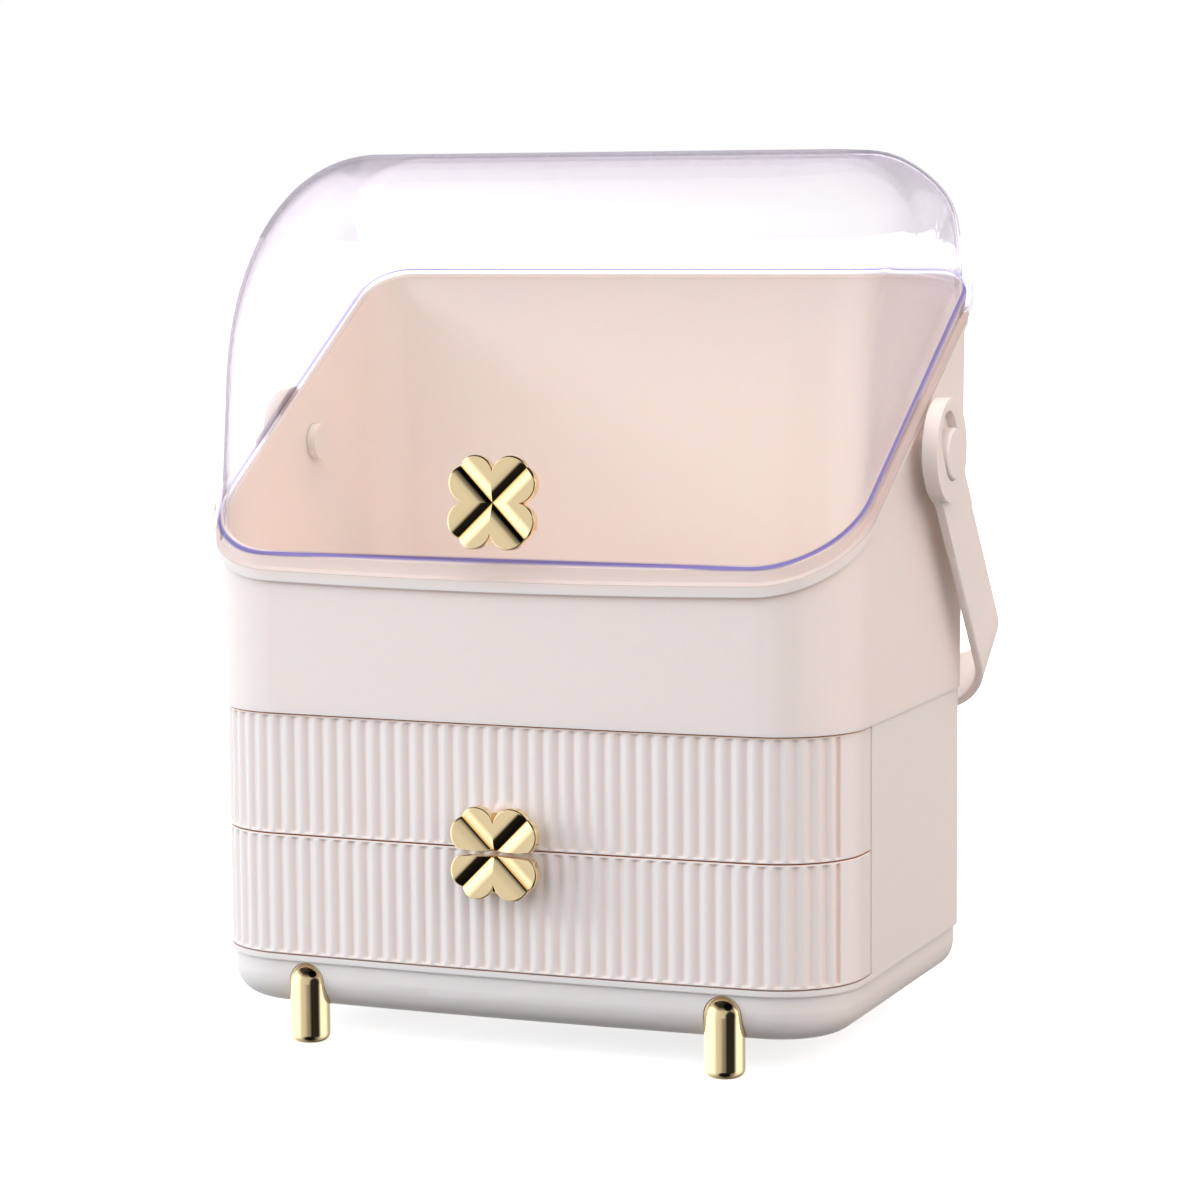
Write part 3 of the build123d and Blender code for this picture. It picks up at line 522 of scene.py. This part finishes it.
# %% sizes shared by the worked-out pieces
HALF_WIDTH, Y_REAR = part_box("drawer_housing")[1][:2]
CASE_DEPTH = 186.4
FRONT_BOW = 4.2
FRONT_CORNER = 36.0
REAR_CORNER = 16.0
RIM_FRONT = 208.8
RIM_SLOPE = radians(30.9)
BOX_FOOT = 140.3
BOX_GROW = 0.8
BOX_DRAFT = radians(0.6)
Y_FRONT = Y_REAR - CASE_DEPTH
BOW_RADIUS = (HALF_WIDTH ** 2 + FRONT_BOW ** 2) / (2 * FRONT_BOW)
BOW_Y = Y_FRONT + BOW_RADIUS
CORNER_X = HALF_WIDTH - FRONT_CORNER
CORNER_Y = BOW_Y - np.sqrt((BOW_RADIUS - FRONT_CORNER) ** 2 - CORNER_X ** 2)
BOW_HALF = np.arcsin(CORNER_X / (BOW_RADIUS - FRONT_CORNER))
print("front", round(Y_FRONT, 3), "rear", round(Y_REAR, 3), "half width", round(HALF_WIDTH, 3))


def outline_distance(x, y):
    """Distance of points outside the case outline in plan, negative inside.

    It is the largest of the distances to the bow's circle, the side and the rear. In the wedge of a corner it
    is the distance to the corner's centre less the corner's radius.
    """
    x = np.abs(x)
    plain = np.maximum(np.hypot(x, y - BOW_Y) - BOW_RADIUS, np.maximum(x - HALF_WIDTH, y - Y_REAR))
    past_bow = (x - CORNER_X) * np.cos(BOW_HALF) + (y - CORNER_Y) * np.sin(BOW_HALF) > 0
    front_corner = np.hypot(x - CORNER_X, y - CORNER_Y) - FRONT_CORNER
    plain = np.where(past_bow & (y < CORNER_Y), front_corner, plain)
    rear_x, rear_y = HALF_WIDTH - REAR_CORNER, Y_REAR - REAR_CORNER
    rear_corner = np.hypot(x - rear_x, y - rear_y) - REAR_CORNER
    return np.where((x > rear_x) & (y > rear_y), rear_corner, plain)


def wall_distance(points, grow):
    """Distance outside the upper box's drafted wall, moved out by grow."""
    spread = BOX_GROW + (points[..., 2] - BOX_FOOT) * np.tan(BOX_DRAFT)
    return outline_distance(points[..., 0], points[..., 1]) - spread - grow


# %% [markdown]
# ## Clear hood
# The hood is one thin-walled dome above the slanted rim. Its side view is a leaning front, a wide arc, a
# flat top and a smaller arc at the rear, and its sides meet that view in wide rounded edges that tighten
# towards the rear corners. A bevelled box would come close, but a bevel keeps one radius along an edge. So
# the form is written as a distance, and each point is found on a ray from the middle of the rim, where
# that distance is nil. The same rays give the flange, the skirt and the inner face, so all of them close
# into one shell.

# %% sizes of the hood
HOOD_WALL = 2.0
HOOD_GROW = 1.2
HOOD_AHEAD = 1.4
HOOD_LEAN = radians(6.3)
HOOD_FRONT_ARC = 105.0
HOOD_REAR_ARC = 32.0
HOOD_EDGE = 38.0
EDGE_BACK = (75.0, 55.0)
EDGE_DOWN = (48.0, 44.0)
FLANGE_THICK = 1.6
SKIRT_OUT = 3.6
SKIRT_CLEARANCE = 0.5
SKIRT_HEIGHT = 5.7
OUTER_ROW = -2.0
INNER_ROW = -4.0
ROOT_FILLET = 1.3
FLANGE_EDGE = 0.9
SKIRT_EDGE = 0.5
# where the painted light line lies: its level above the rim plane, half width, fade and reach
LINE_LEVEL = 0.3
LINE_HALF = 0.75
LINE_FADE = 0.5
LINE_REACH = ROOT_FILLET + 0.4
HOOD_TOP = part_box("lid_hood")[1][2]
HOOD_HALF = HALF_WIDTH + HOOD_GROW
HOOD_REAR = Y_REAR + HOOD_GROW
HOOD_FRONT = Y_FRONT - HOOD_AHEAD
RIM_ALONG = np.array([0.0, cos(RIM_SLOPE), sin(RIM_SLOPE)])
RIM_NORMAL = np.array([0.0, -sin(RIM_SLOPE), cos(RIM_SLOPE)])
RIM_MIDDLE = np.array([0.0, Y_FRONT + CASE_DEPTH / 2, RIM_FRONT + tan(RIM_SLOPE) * CASE_DEPTH / 2])
print("hood top", round(HOOD_TOP, 3), "rim at the rear", round(RIM_FRONT + tan(RIM_SLOPE) * CASE_DEPTH, 3))

# %% the hood's form as a distance


def smooth_step(value):
    """Rise from 0 to 1 over the range 0 to 1, flat at both ends."""
    value = np.clip(value, 0, 1)
    return value * value * (3 - 2 * value)


def hood_distance(points, inset):
    """Distance outside the hood's form moved in by inset.

    The side view's distance is the largest of those to its planes, or that to an arc where an arc takes over.
    It is joined with the distance to the side plane by a rounded edge. The edge's radius is HOOD_EDGE, and
    falls to that of the case's corner low at the rear. EDGE_BACK and EDGE_DOWN say how far before the rear
    and below the top that change starts, and over what length it goes on.
    """
    x, y, z = points[..., 0], points[..., 1], points[..., 2]
    front = -(y - HOOD_FRONT) * np.cos(HOOD_LEAN) + (z - RIM_FRONT) * np.sin(HOOD_LEAN)
    arc_z = HOOD_TOP - HOOD_FRONT_ARC
    arc_y = HOOD_FRONT + (HOOD_FRONT_ARC + (arc_z - RIM_FRONT) * np.sin(HOOD_LEAN)) / np.cos(HOOD_LEAN)
    past_front = (y - arc_y) * np.sin(HOOD_LEAN) + (z - arc_z) * np.cos(HOOD_LEAN) > 0
    view = np.maximum(front, z - HOOD_TOP)
    view = np.where(past_front & (y < arc_y), np.hypot(y - arc_y, z - arc_z) - HOOD_FRONT_ARC, view)
    rear_y, rear_z = HOOD_REAR - HOOD_REAR_ARC, HOOD_TOP - HOOD_REAR_ARC
    rear = np.maximum(y - HOOD_REAR, z - HOOD_TOP)
    rear = np.where((y > rear_y) & (z > rear_z), np.hypot(y - rear_y, z - rear_z) - HOOD_REAR_ARC, rear)
    view = np.maximum(view, rear)
    corner = REAR_CORNER + HOOD_GROW
    at_rear = smooth_step((y - HOOD_REAR + EDGE_BACK[0]) / EDGE_BACK[1])
    low_at_rear = at_rear * (1 - smooth_step((z - HOOD_TOP + EDGE_DOWN[0]) / EDGE_DOWN[1]))
    edge = HOOD_EDGE + (corner - HOOD_EDGE) * low_at_rear
    inwards, across = view + edge, np.abs(x) - HOOD_HALF + edge
    outside = np.hypot(np.maximum(inwards, 0), np.maximum(across, 0))
    return np.minimum(np.maximum(inwards, across), 0) + outside - edge + inset


def hood_outside(points):
    """Distance outside the hood's outer face."""
    return hood_distance(points, 0)


def skirt_outside(points):
    """Distance outside the skirt's outer face."""
    return wall_distance(points, SKIRT_OUT)


def skirt_inside(points):
    """Distance outside the skirt's inner face."""
    return wall_distance(points, SKIRT_CLEARANCE)


# %% rays and rings from the middle of the rim
HOOD_COLUMNS = 352
DOME_ROWS = 64
HALVINGS = 34
RIM_SAMPLES = 7200
TURNING_WEIGHT = 1.2


def reach(start, direction, distance):
    """Points where rays leave a form: the span that holds each crossing is halved, HALVINGS times."""
    low = np.zeros(direction.shape[:-1])
    high = np.full(direction.shape[:-1], 2.0 * CASE_DEPTH)
    for _ in range(HALVINGS):
        middle = (low + high) / 2
        outside = distance(start + direction * middle[..., None]) > 0
        low, high = np.where(outside, low, middle), np.where(outside, middle, high)
    return start + direction * low[..., None]


def rim_directions(angles):
    """Unit directions in the rim plane at angles from the X axis."""
    return np.cos(angles)[:, None] * np.array([1.0, 0.0, 0.0]) + np.sin(angles)[:, None] * RIM_ALONG


def even_angles(count):
    """Angles around the rim in equal shares of its length and its turning, so that corners get more."""
    fine = np.linspace(0, 2 * pi, RIM_SAMPLES + 1)
    line = reach(RIM_MIDDLE, rim_directions(fine), hood_outside)
    step = np.diff(line, axis=0)
    length = np.linalg.norm(step, axis=1)
    heading = np.unwrap(np.arctan2(step @ RIM_ALONG, step[:, 0]))
    turning = np.abs(np.diff(heading, append=heading[:1] + 2 * pi))
    share = length / length.sum() + TURNING_WEIGHT * turning / turning.sum()
    return np.interp(np.linspace(0, share.sum(), count + 1), np.concatenate([[0], np.cumsum(share)]), fine)


def rim_ring(angles, level, distance, outwards=0.0):
    """Ring of points at a level above the rim plane where a form ends, moved outwards in that plane."""
    start = RIM_MIDDLE + level * RIM_NORMAL
    directions = rim_directions(angles)
    return reach(start, directions, distance) + outwards * directions


def dome(angles, level, inset):
    """Rows of the dome from a level above the rim plane up to its pole, by equal steps of the ray's rise."""
    start = RIM_MIDDLE + level * RIM_NORMAL
    rise = np.linspace(0, pi / 2, DOME_ROWS)[:, None, None]
    directions = np.cos(rise) * rim_directions(angles)[None] + np.sin(rise) * RIM_NORMAL
    rows = reach(start, directions, lambda points: hood_distance(points, inset))
    rows[-1] = rows[-1, :1]
    return rows


# %% the hood as one closed shell


def hood_shell():
    """Grid from the outer pole down the dome, round the flange and skirt, and up inside to the inner pole.

    The fillet at the root, the flange's edge and the skirt's lower edge are quarter circles.
    """
    angles = even_angles(HOOD_COLUMNS)
    angles[-1] = angles[0] + 2 * pi
    outer = dome(angles, ROOT_FILLET, 0.0)[::-1]
    inner = dome(angles, -FLANGE_THICK, HOOD_WALL)
    quarter = np.linspace(0, pi / 2, 6)
    lowest = SKIRT_EDGE - SKIRT_HEIGHT
    rings = [rim_ring(angles, ROOT_FILLET * (1 - sin(turn)), hood_outside, ROOT_FILLET * (1 - cos(turn)))
             for turn in quarter[1:]]
    rings += [rim_ring(angles, FLANGE_EDGE * (cos(turn) - 1), skirt_outside, FLANGE_EDGE * (sin(turn) - 1))
              for turn in quarter]
    rings += [rim_ring(angles, level, skirt_outside) for level in np.linspace(OUTER_ROW, lowest, 4)]
    rings += [rim_ring(angles, lowest - SKIRT_EDGE * sin(turn), skirt_outside, SKIRT_EDGE * (cos(turn) - 1))
              for turn in quarter[1:]]
    rings += [rim_ring(angles, level, skirt_inside) for level in (-SKIRT_HEIGHT, INNER_ROW, -FLANGE_THICK)]
    shell = np.concatenate([outer, np.stack(rings), inner])
    shell[:, -1] = shell[:, 0]
    return shell


def painted_rim_light(points):
    """Painted light line at the wall's root: 1 around the fillet above the flange, fading over LINE_FADE."""
    level = (points - RIM_MIDDLE) @ RIM_NORMAL
    beside = hood_outside(points)
    at_level = smooth_step((LINE_HALF - np.abs(level - LINE_LEVEL)) / LINE_FADE)
    outside_wall = smooth_step(beside / LINE_FADE + 1)
    return at_level * outside_wall * smooth_step((LINE_REACH - beside) / LINE_FADE)


# %% [markdown]
# The hood hinges on two knuckles behind its rear wall. Each is a round end on the hinge axis with a neck
# up to the flange. Both have the same outline, carried along the axis, with a bore for the pin.

# %% hinge knuckles of the hood
HINGE_SPACING = 160.0
HINGE_DROP = 9.6
HINGE_BACK = 8.4
KNUCKLE_RADIUS = 4.0
KNUCKLE_WIDTH = 14.0
HINGE_Y = Y_REAR + HINGE_BACK
HINGE_Z = RIM_FRONT + tan(RIM_SLOPE) * CASE_DEPTH - HINGE_DROP
BORE_RADIUS = 1.65
NECK_TOP = HINGE_Z + HINGE_DROP - SKIRT_HEIGHT / 2
NECK_CROWN = 0.05
KNUCKLE_POINTS = 49


def knuckle_outline(turn):
    """Outline of a knuckle in the YZ plane: a circle whose upper half is drawn up to a nearly flat top."""
    y = HINGE_Y + KNUCKLE_RADIUS * np.cos(turn)
    z = HINGE_Z + KNUCKLE_RADIUS * np.sin(turn)
    upper = np.sin(turn) > NECK_CROWN
    return y, np.where(upper, np.maximum(z, NECK_TOP + (z - HINGE_Z) * NECK_CROWN), z)


def knuckle(middle_x):
    """Grid along X through a knuckle: outside, one end face, the bore, and the other end face."""
    turn = np.linspace(0, 2 * pi, KNUCKLE_POINTS)
    outside = knuckle_outline(turn)
    bore = (HINGE_Y + BORE_RADIUS * np.cos(turn), HINGE_Z + BORE_RADIUS * np.sin(turn))
    left, right = middle_x - KNUCKLE_WIDTH / 2, middle_x + KNUCKLE_WIDTH / 2
    rows = [np.stack([np.full(KNUCKLE_POINTS, x), *section], axis=-1)
            for x, section in ((left, bore), (left, outside), (right, outside), (right, bore), (left, bore))]
    return np.stack(rows)


hood = piece_from("hood", [hood_shell()], clear_hood, "lid", sharp=50, line=painted_rim_light)
knuckles = [knuckle(side * HINGE_SPACING / 2) for side in (-1, 1)]
hinge_knuckles = piece_from("hood_knuckles", knuckles, clear_hood, "lid",
                            line=lambda points: np.zeros(len(points)))
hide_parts("lid_hood")

# %% [markdown]
# ## Clover knobs
# The knobs are gold clovers of four hearts that meet along the diagonals. Four hearts could be modelled
# apart and joined, but the valleys between them would need care to stay sharp. Here the face is one height
# over a flat plate. It is level in the middle of each heart and falls ever more steeply towards the
# diagonals, which leaves four sharp valleys that meet in the middle. The outline is the far side of eight
# round lobes and one disc, and the face rounds off at it. The drawer knobs are the halves of one clover,
# cut beside its middle.

# %% outline and relief of a clover
LOBE_RADIUS = 7.9
LOBE_NEAR = 7.7
LOBE_FAR = 11.3
HEART_RADIUS = 11.8
VALLEY = 2.1
CREST = 4.2
CREST_WIDTH = 5.8
CREST_POWER = 2.0


def clover_radius(turn):
    """Radius of the clover's outline at an angle: the far crossing of the ray with any lobe, or the disc."""
    ray = np.stack([np.cos(turn), np.sin(turn)], axis=-1)
    radius = np.full(turn.shape, HEART_RADIUS)
    pairs = ((LOBE_NEAR, LOBE_FAR), (LOBE_FAR, LOBE_NEAR))
    lobes = [(side * across, rise * upright) for across, upright in pairs
             for side in (-1, 1) for rise in (-1, 1)]
    for lobe in lobes:
        along = ray @ np.array(lobe)
        inside = LOBE_RADIUS ** 2 - (lobe[0] ** 2 + lobe[1] ** 2 - along ** 2)
        radius = np.where(inside > 0, np.maximum(radius, along + np.sqrt(np.maximum(inside, 0))), radius)
    return radius


def clover_height(x, y):
    """Height of the face above the plate's back.

    It is CREST beyond CREST_WIDTH from the nearest diagonal. Nearer, it falls towards VALLEY by the missing
    share of that width, raised to CREST_POWER.
    """
    away = np.minimum(np.abs(x - y), np.abs(x + y)) / np.sqrt(2)
    short = 1 - np.clip(away / CREST_WIDTH, 0, 1)
    return CREST - (CREST - VALLEY) * short ** CREST_POWER


# %% grids of a clover's plate and stem
STEM_RADIUS = 5.2
STEM_HEIGHT = 8.0
CLOVER_EDGE = 0.9
CLOVER_ROWS = 30
STEM_COLUMNS = 64
CROWDING = 1.5


def clover_turns(start, end, count):
    """Angles from start to end, closer together beside the diagonals by the power CROWDING."""
    turn = np.linspace(start, end, count)
    octant = pi / 4
    share = (turn / octant) % 2
    near = np.where(share < 1, 1 - share, share - 1)
    moved = np.sign(share - 1) * octant * near ** CROWDING
    return turn - (share - 1) * octant + moved


def clover_plate(turns, inner_radius):
    """Face, back and walls of a plate between an inner radius and the outline, as grids that share borders.

    Rows run from the inner to the outer border. The face drops in a quarter circle over the rounded edge next
    to the outline, and also next to the cut where the inner border is one.
    """
    outer_radius = clover_radius(turns)
    bend = CLOVER_EDGE * (1 - np.cos(np.linspace(0, pi / 2, 8)))
    cut = inner_radius.max() > 0
    edge = np.minimum(CLOVER_EDGE, (outer_radius - inner_radius) / 3)
    start = inner_radius + (edge if cut else 0)
    middle = start + (outer_radius - edge - start) * np.linspace(0, 1, CLOVER_ROWS)[:, None]
    near_rows = inner_radius + bend[:-1, None] * edge / CLOVER_EDGE if cut else middle[:0]
    far_rows = outer_radius - bend[::-1][1:, None] * edge / CLOVER_EDGE
    radius = np.concatenate([near_rows, middle, far_rows])
    x, y = radius * np.cos(turns), radius * np.sin(turns)
    border = outer_radius - radius
    if cut:
        border = np.minimum(border, radius - inner_radius)
    short = np.maximum(edge - border, 0)
    drop = edge - np.sqrt(np.maximum(edge ** 2 - short ** 2, 0))
    face = np.stack([x, y, clover_height(x, y) - drop], axis=-1)
    back = face * np.array([1.0, 1.0, 0.0])
    walls = [np.stack([face[-1], back[-1]])]
    if cut:
        walls += [np.stack([back[0], face[0]]), np.stack([face[:, 0], back[:, 0]]),
                  np.stack([back[:, -1], face[:, -1]])]
    return [face, back[::-1]] + walls


def stem(middle_y):
    """Grid of a round stem from the seat to the plate's back, with closed ends."""
    turn = np.linspace(0, 2 * pi, STEM_COLUMNS + 1)
    rows = []
    for radius, z in ((0, -STEM_HEIGHT), (STEM_RADIUS, -STEM_HEIGHT), (STEM_RADIUS, 0.0), (0, 0.0)):
        x, y = radius * np.cos(turn), middle_y + radius * np.sin(turn)
        rows.append(np.stack([x, y, np.full(turn.shape, z)], axis=-1))
    return np.stack(rows)


def placed(grids, seat, out):
    """Grids moved so that local z runs along out from the plate's back above a seat, and local y runs up."""
    out = np.array(out)
    up = np.cross(out, [1.0, 0.0, 0.0])
    up = up if up[2] > 0 else -up
    start = np.array(seat) + STEM_HEIGHT * out
    return [start + grid[..., :1] * np.array([1.0, 0.0, 0.0]) + grid[..., 1:2] * up + grid[..., 2:] * out
            for grid in grids]


# %% three knobs from the same relief
CLOVER_COLUMNS = 512
HALF_STEM_RISE = 11.5
HALF_GAP = 1.0
CUT_NEAR = 0.05
CUT_MARGIN = 0.004
KNOB_LEVEL = 231.0
PAD_RISE = 0.3
SPLIT_LEVEL = (part_box("lower_drawer_front")[1][2] + part_box("upper_drawer_front")[0][2]) / 2
full_turns = clover_turns(0, 2 * pi, CLOVER_COLUMNS + 1)
full_turns[-1] = full_turns[0] + 2 * pi
whole_clover = clover_plate(full_turns, np.zeros(full_turns.shape)) + [stem(0.0)]
corner_turn = np.arcsin(HALF_GAP / clover_radius(np.array([CUT_NEAR]))[0]) + CUT_MARGIN
half_turns = clover_turns(corner_turn, pi - corner_turn, CLOVER_COLUMNS // 2 + 1)
half_clover = clover_plate(half_turns, HALF_GAP / np.sin(half_turns)) + [stem(HALF_STEM_RISE)]
lower_half = [grid * np.array([1.0, -1.0, 1.0]) for grid in half_clover]
lid_seat = (0, HOOD_FRONT + (KNOB_LEVEL - RIM_FRONT) * tan(HOOD_LEAN), KNOB_LEVEL)
drawer_seat = (0, Y_FRONT - PAD_RISE, SPLIT_LEVEL)
lid_out = (0, -cos(HOOD_LEAN), sin(HOOD_LEAN))
clovers = {"lid_knob": (whole_clover, lid_seat, lid_out, "lid"),
           "lower_drawer_knob": (lower_half, drawer_seat, (0, -1, 0), "lower_drawer"),
           "upper_drawer_knob": (half_clover, drawer_seat, (0, -1, 0), "upper_drawer")}
for node, (grids, seat, out, body) in clovers.items():
    grids = placed(grids, seat, out)
    clover = piece_from(node.replace("knob", "clover"), grids, polished_gold, body, sharp=35)
    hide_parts(node)

# %% [markdown]
# ## Fluted drawer fronts
# A drawer front wraps round the bowed face and both front corners. A row of copied ribs would have to be
# bent round the corners, while an offset of the case outline follows them by itself. The offset holds the
# flutes: rounded ribs with soft grooves between them, which fade into a plain band above and below and end
# in a last groove on each side. It also rounds the borders and raises the pad under the knob.

# %% drawer fronts as offsets of the case outline
FLUTE_COLUMNS = 12
FACE_ROWS = 26
PLAIN_COLUMNS = 14
FACE_THICK = 3.5
FACE_SKIN = 0.2
FACE_REACH = 48.2
FACE_EDGE = 0.35
FLUTE_PITCH = 6.71
FLUTE_COUNT = 43
FLUTE_DEPTH = 1.0
FLUTE_BORDER = 0.6
FLUTE_FADE = 0.9
PAD_RADIUS = 7.5
FLUTE_END = FLUTE_PITCH * FLUTE_COUNT / 2
BOW_LENGTH = BOW_RADIUS * BOW_HALF
CORNER_END = BOW_LENGTH + FRONT_CORNER * (pi / 2 - BOW_HALF)
FACE_END = CORNER_END + Y_FRONT + FACE_REACH - CORNER_Y
print("fluted length", round(2 * FLUTE_END, 2), "of", round(2 * FACE_END, 2))


def front_line(travel, offset):
    """Plan point that lies travel along the outline from the middle of the front, moved outwards by offset.

    The outline is the bow's arc, then the corner's arc, then the straight side.
    """
    side, along = np.sign(travel), np.abs(travel)
    turned = along / BOW_RADIUS
    x = (BOW_RADIUS + offset) * np.sin(turned)
    y = BOW_Y - (BOW_RADIUS + offset) * np.cos(turned)
    corner = BOW_HALF + (along - BOW_LENGTH) / FRONT_CORNER
    past_bow = along > BOW_LENGTH
    x = np.where(past_bow, CORNER_X + (FRONT_CORNER + offset) * np.sin(corner), x)
    y = np.where(past_bow, CORNER_Y - (FRONT_CORNER + offset) * np.cos(corner), y)
    past_corner = along > CORNER_END
    x = np.where(past_corner, HALF_WIDTH + offset, x)
    y = np.where(past_corner, CORNER_Y + along - CORNER_END, y)
    return side * x, y


def face_offset(travel, z, low, high, knob_level):
    """Outward offset of a drawer front's face.

    The plain bands lie FACE_SKIN inside the outline. The ribs' crests reach it, and the grooves go down to
    FLUTE_DEPTH below the bands. A rib is half a parabola and half a squared cosine across its pitch, and
    fades towards the bands. The pad under the knob stands proud, and a quarter circle rounds the borders.
    """
    across = (travel / FLUTE_PITCH + 0.5) % 1 - 0.5
    rib = 0.5 * (1 - 4 * across ** 2) + 0.5 * np.cos(pi * across) ** 2
    ends = np.minimum(z - low, high - z) - FLUTE_BORDER
    fade = smooth_step(ends / FLUTE_FADE)
    ribs = fade * (FACE_SKIN - (FACE_SKIN + FLUTE_DEPTH) * (1 - rib))
    last_groove = -FLUTE_DEPTH * fade * (1 - smooth_step((np.abs(travel) - FLUTE_END) / FLUTE_FADE))
    offset = -FACE_SKIN + np.where(np.abs(travel) < FLUTE_END, ribs, last_groove)
    pad = smooth_step(PAD_RADIUS - np.hypot(travel, z - knob_level))
    offset = offset + (PAD_RISE - offset) * pad
    border = np.minimum(np.minimum(z - low, high - z), FACE_END - np.abs(travel))
    short = np.clip(FACE_EDGE - border, 0, FACE_EDGE)
    return offset - FACE_EDGE + np.sqrt(FACE_EDGE ** 2 - short ** 2)


def drawer_face(node, knob_level):
    """Grids of a drawer front: rows up its face and back down its rear, and the two end caps."""
    low, high = part_box(node)[0][2], part_box(node)[1][2]
    bend = FACE_EDGE * (1 - np.cos(np.linspace(0, pi / 2, 6)))
    fading = FLUTE_BORDER + FLUTE_FADE * np.linspace(0, 1, 6)
    lower = np.concatenate([bend, fading]) + low
    upper = (high + low - lower)[::-1]
    z = np.concatenate([lower, np.linspace(lower[-1], upper[0], FACE_ROWS)[1:-1], upper])
    ribs = np.linspace(-FLUTE_END, FLUTE_END, FLUTE_COUNT * FLUTE_COLUMNS + 1)
    beyond = np.concatenate([FLUTE_END + FLUTE_FADE * np.linspace(0, 1, 6)[1:],
                             np.linspace(FLUTE_END + FLUTE_FADE, FACE_END - FACE_EDGE, PLAIN_COLUMNS)[1:],
                             FACE_END - bend[::-1][1:]])
    travel = np.concatenate([-beyond[::-1], ribs, beyond])
    offset = face_offset(travel[None, :], z[:, None], low, high, knob_level)
    x, y = front_line(travel[None, :], offset)
    face = np.stack([x, y, np.broadcast_to(z[:, None], x.shape)], axis=-1)
    rear_x, rear_y = front_line(travel, -FACE_THICK)
    rear = [np.stack([rear_x, rear_y, np.full(travel.shape, level)], axis=-1) for level in (high, low)]
    loop = np.concatenate([face, rear, face[:1]])
    left, right = (np.stack([loop[:, end], np.broadcast_to(loop[:-1, end].mean(axis=0), loop[:, end].shape)])
                   for end in (0, -1))
    return [loop, left, right[::-1]]


for name, rise in (("lower_drawer", -HALF_STEM_RISE), ("upper_drawer", HALF_STEM_RISE)):
    fluted_face = piece_from(f"{name}_fluted_face", drawer_face(f"{name}_front", SPLIT_LEVEL + rise),
                             fluted_plastic, name, sharp=55)
    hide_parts(f"{name}_front")
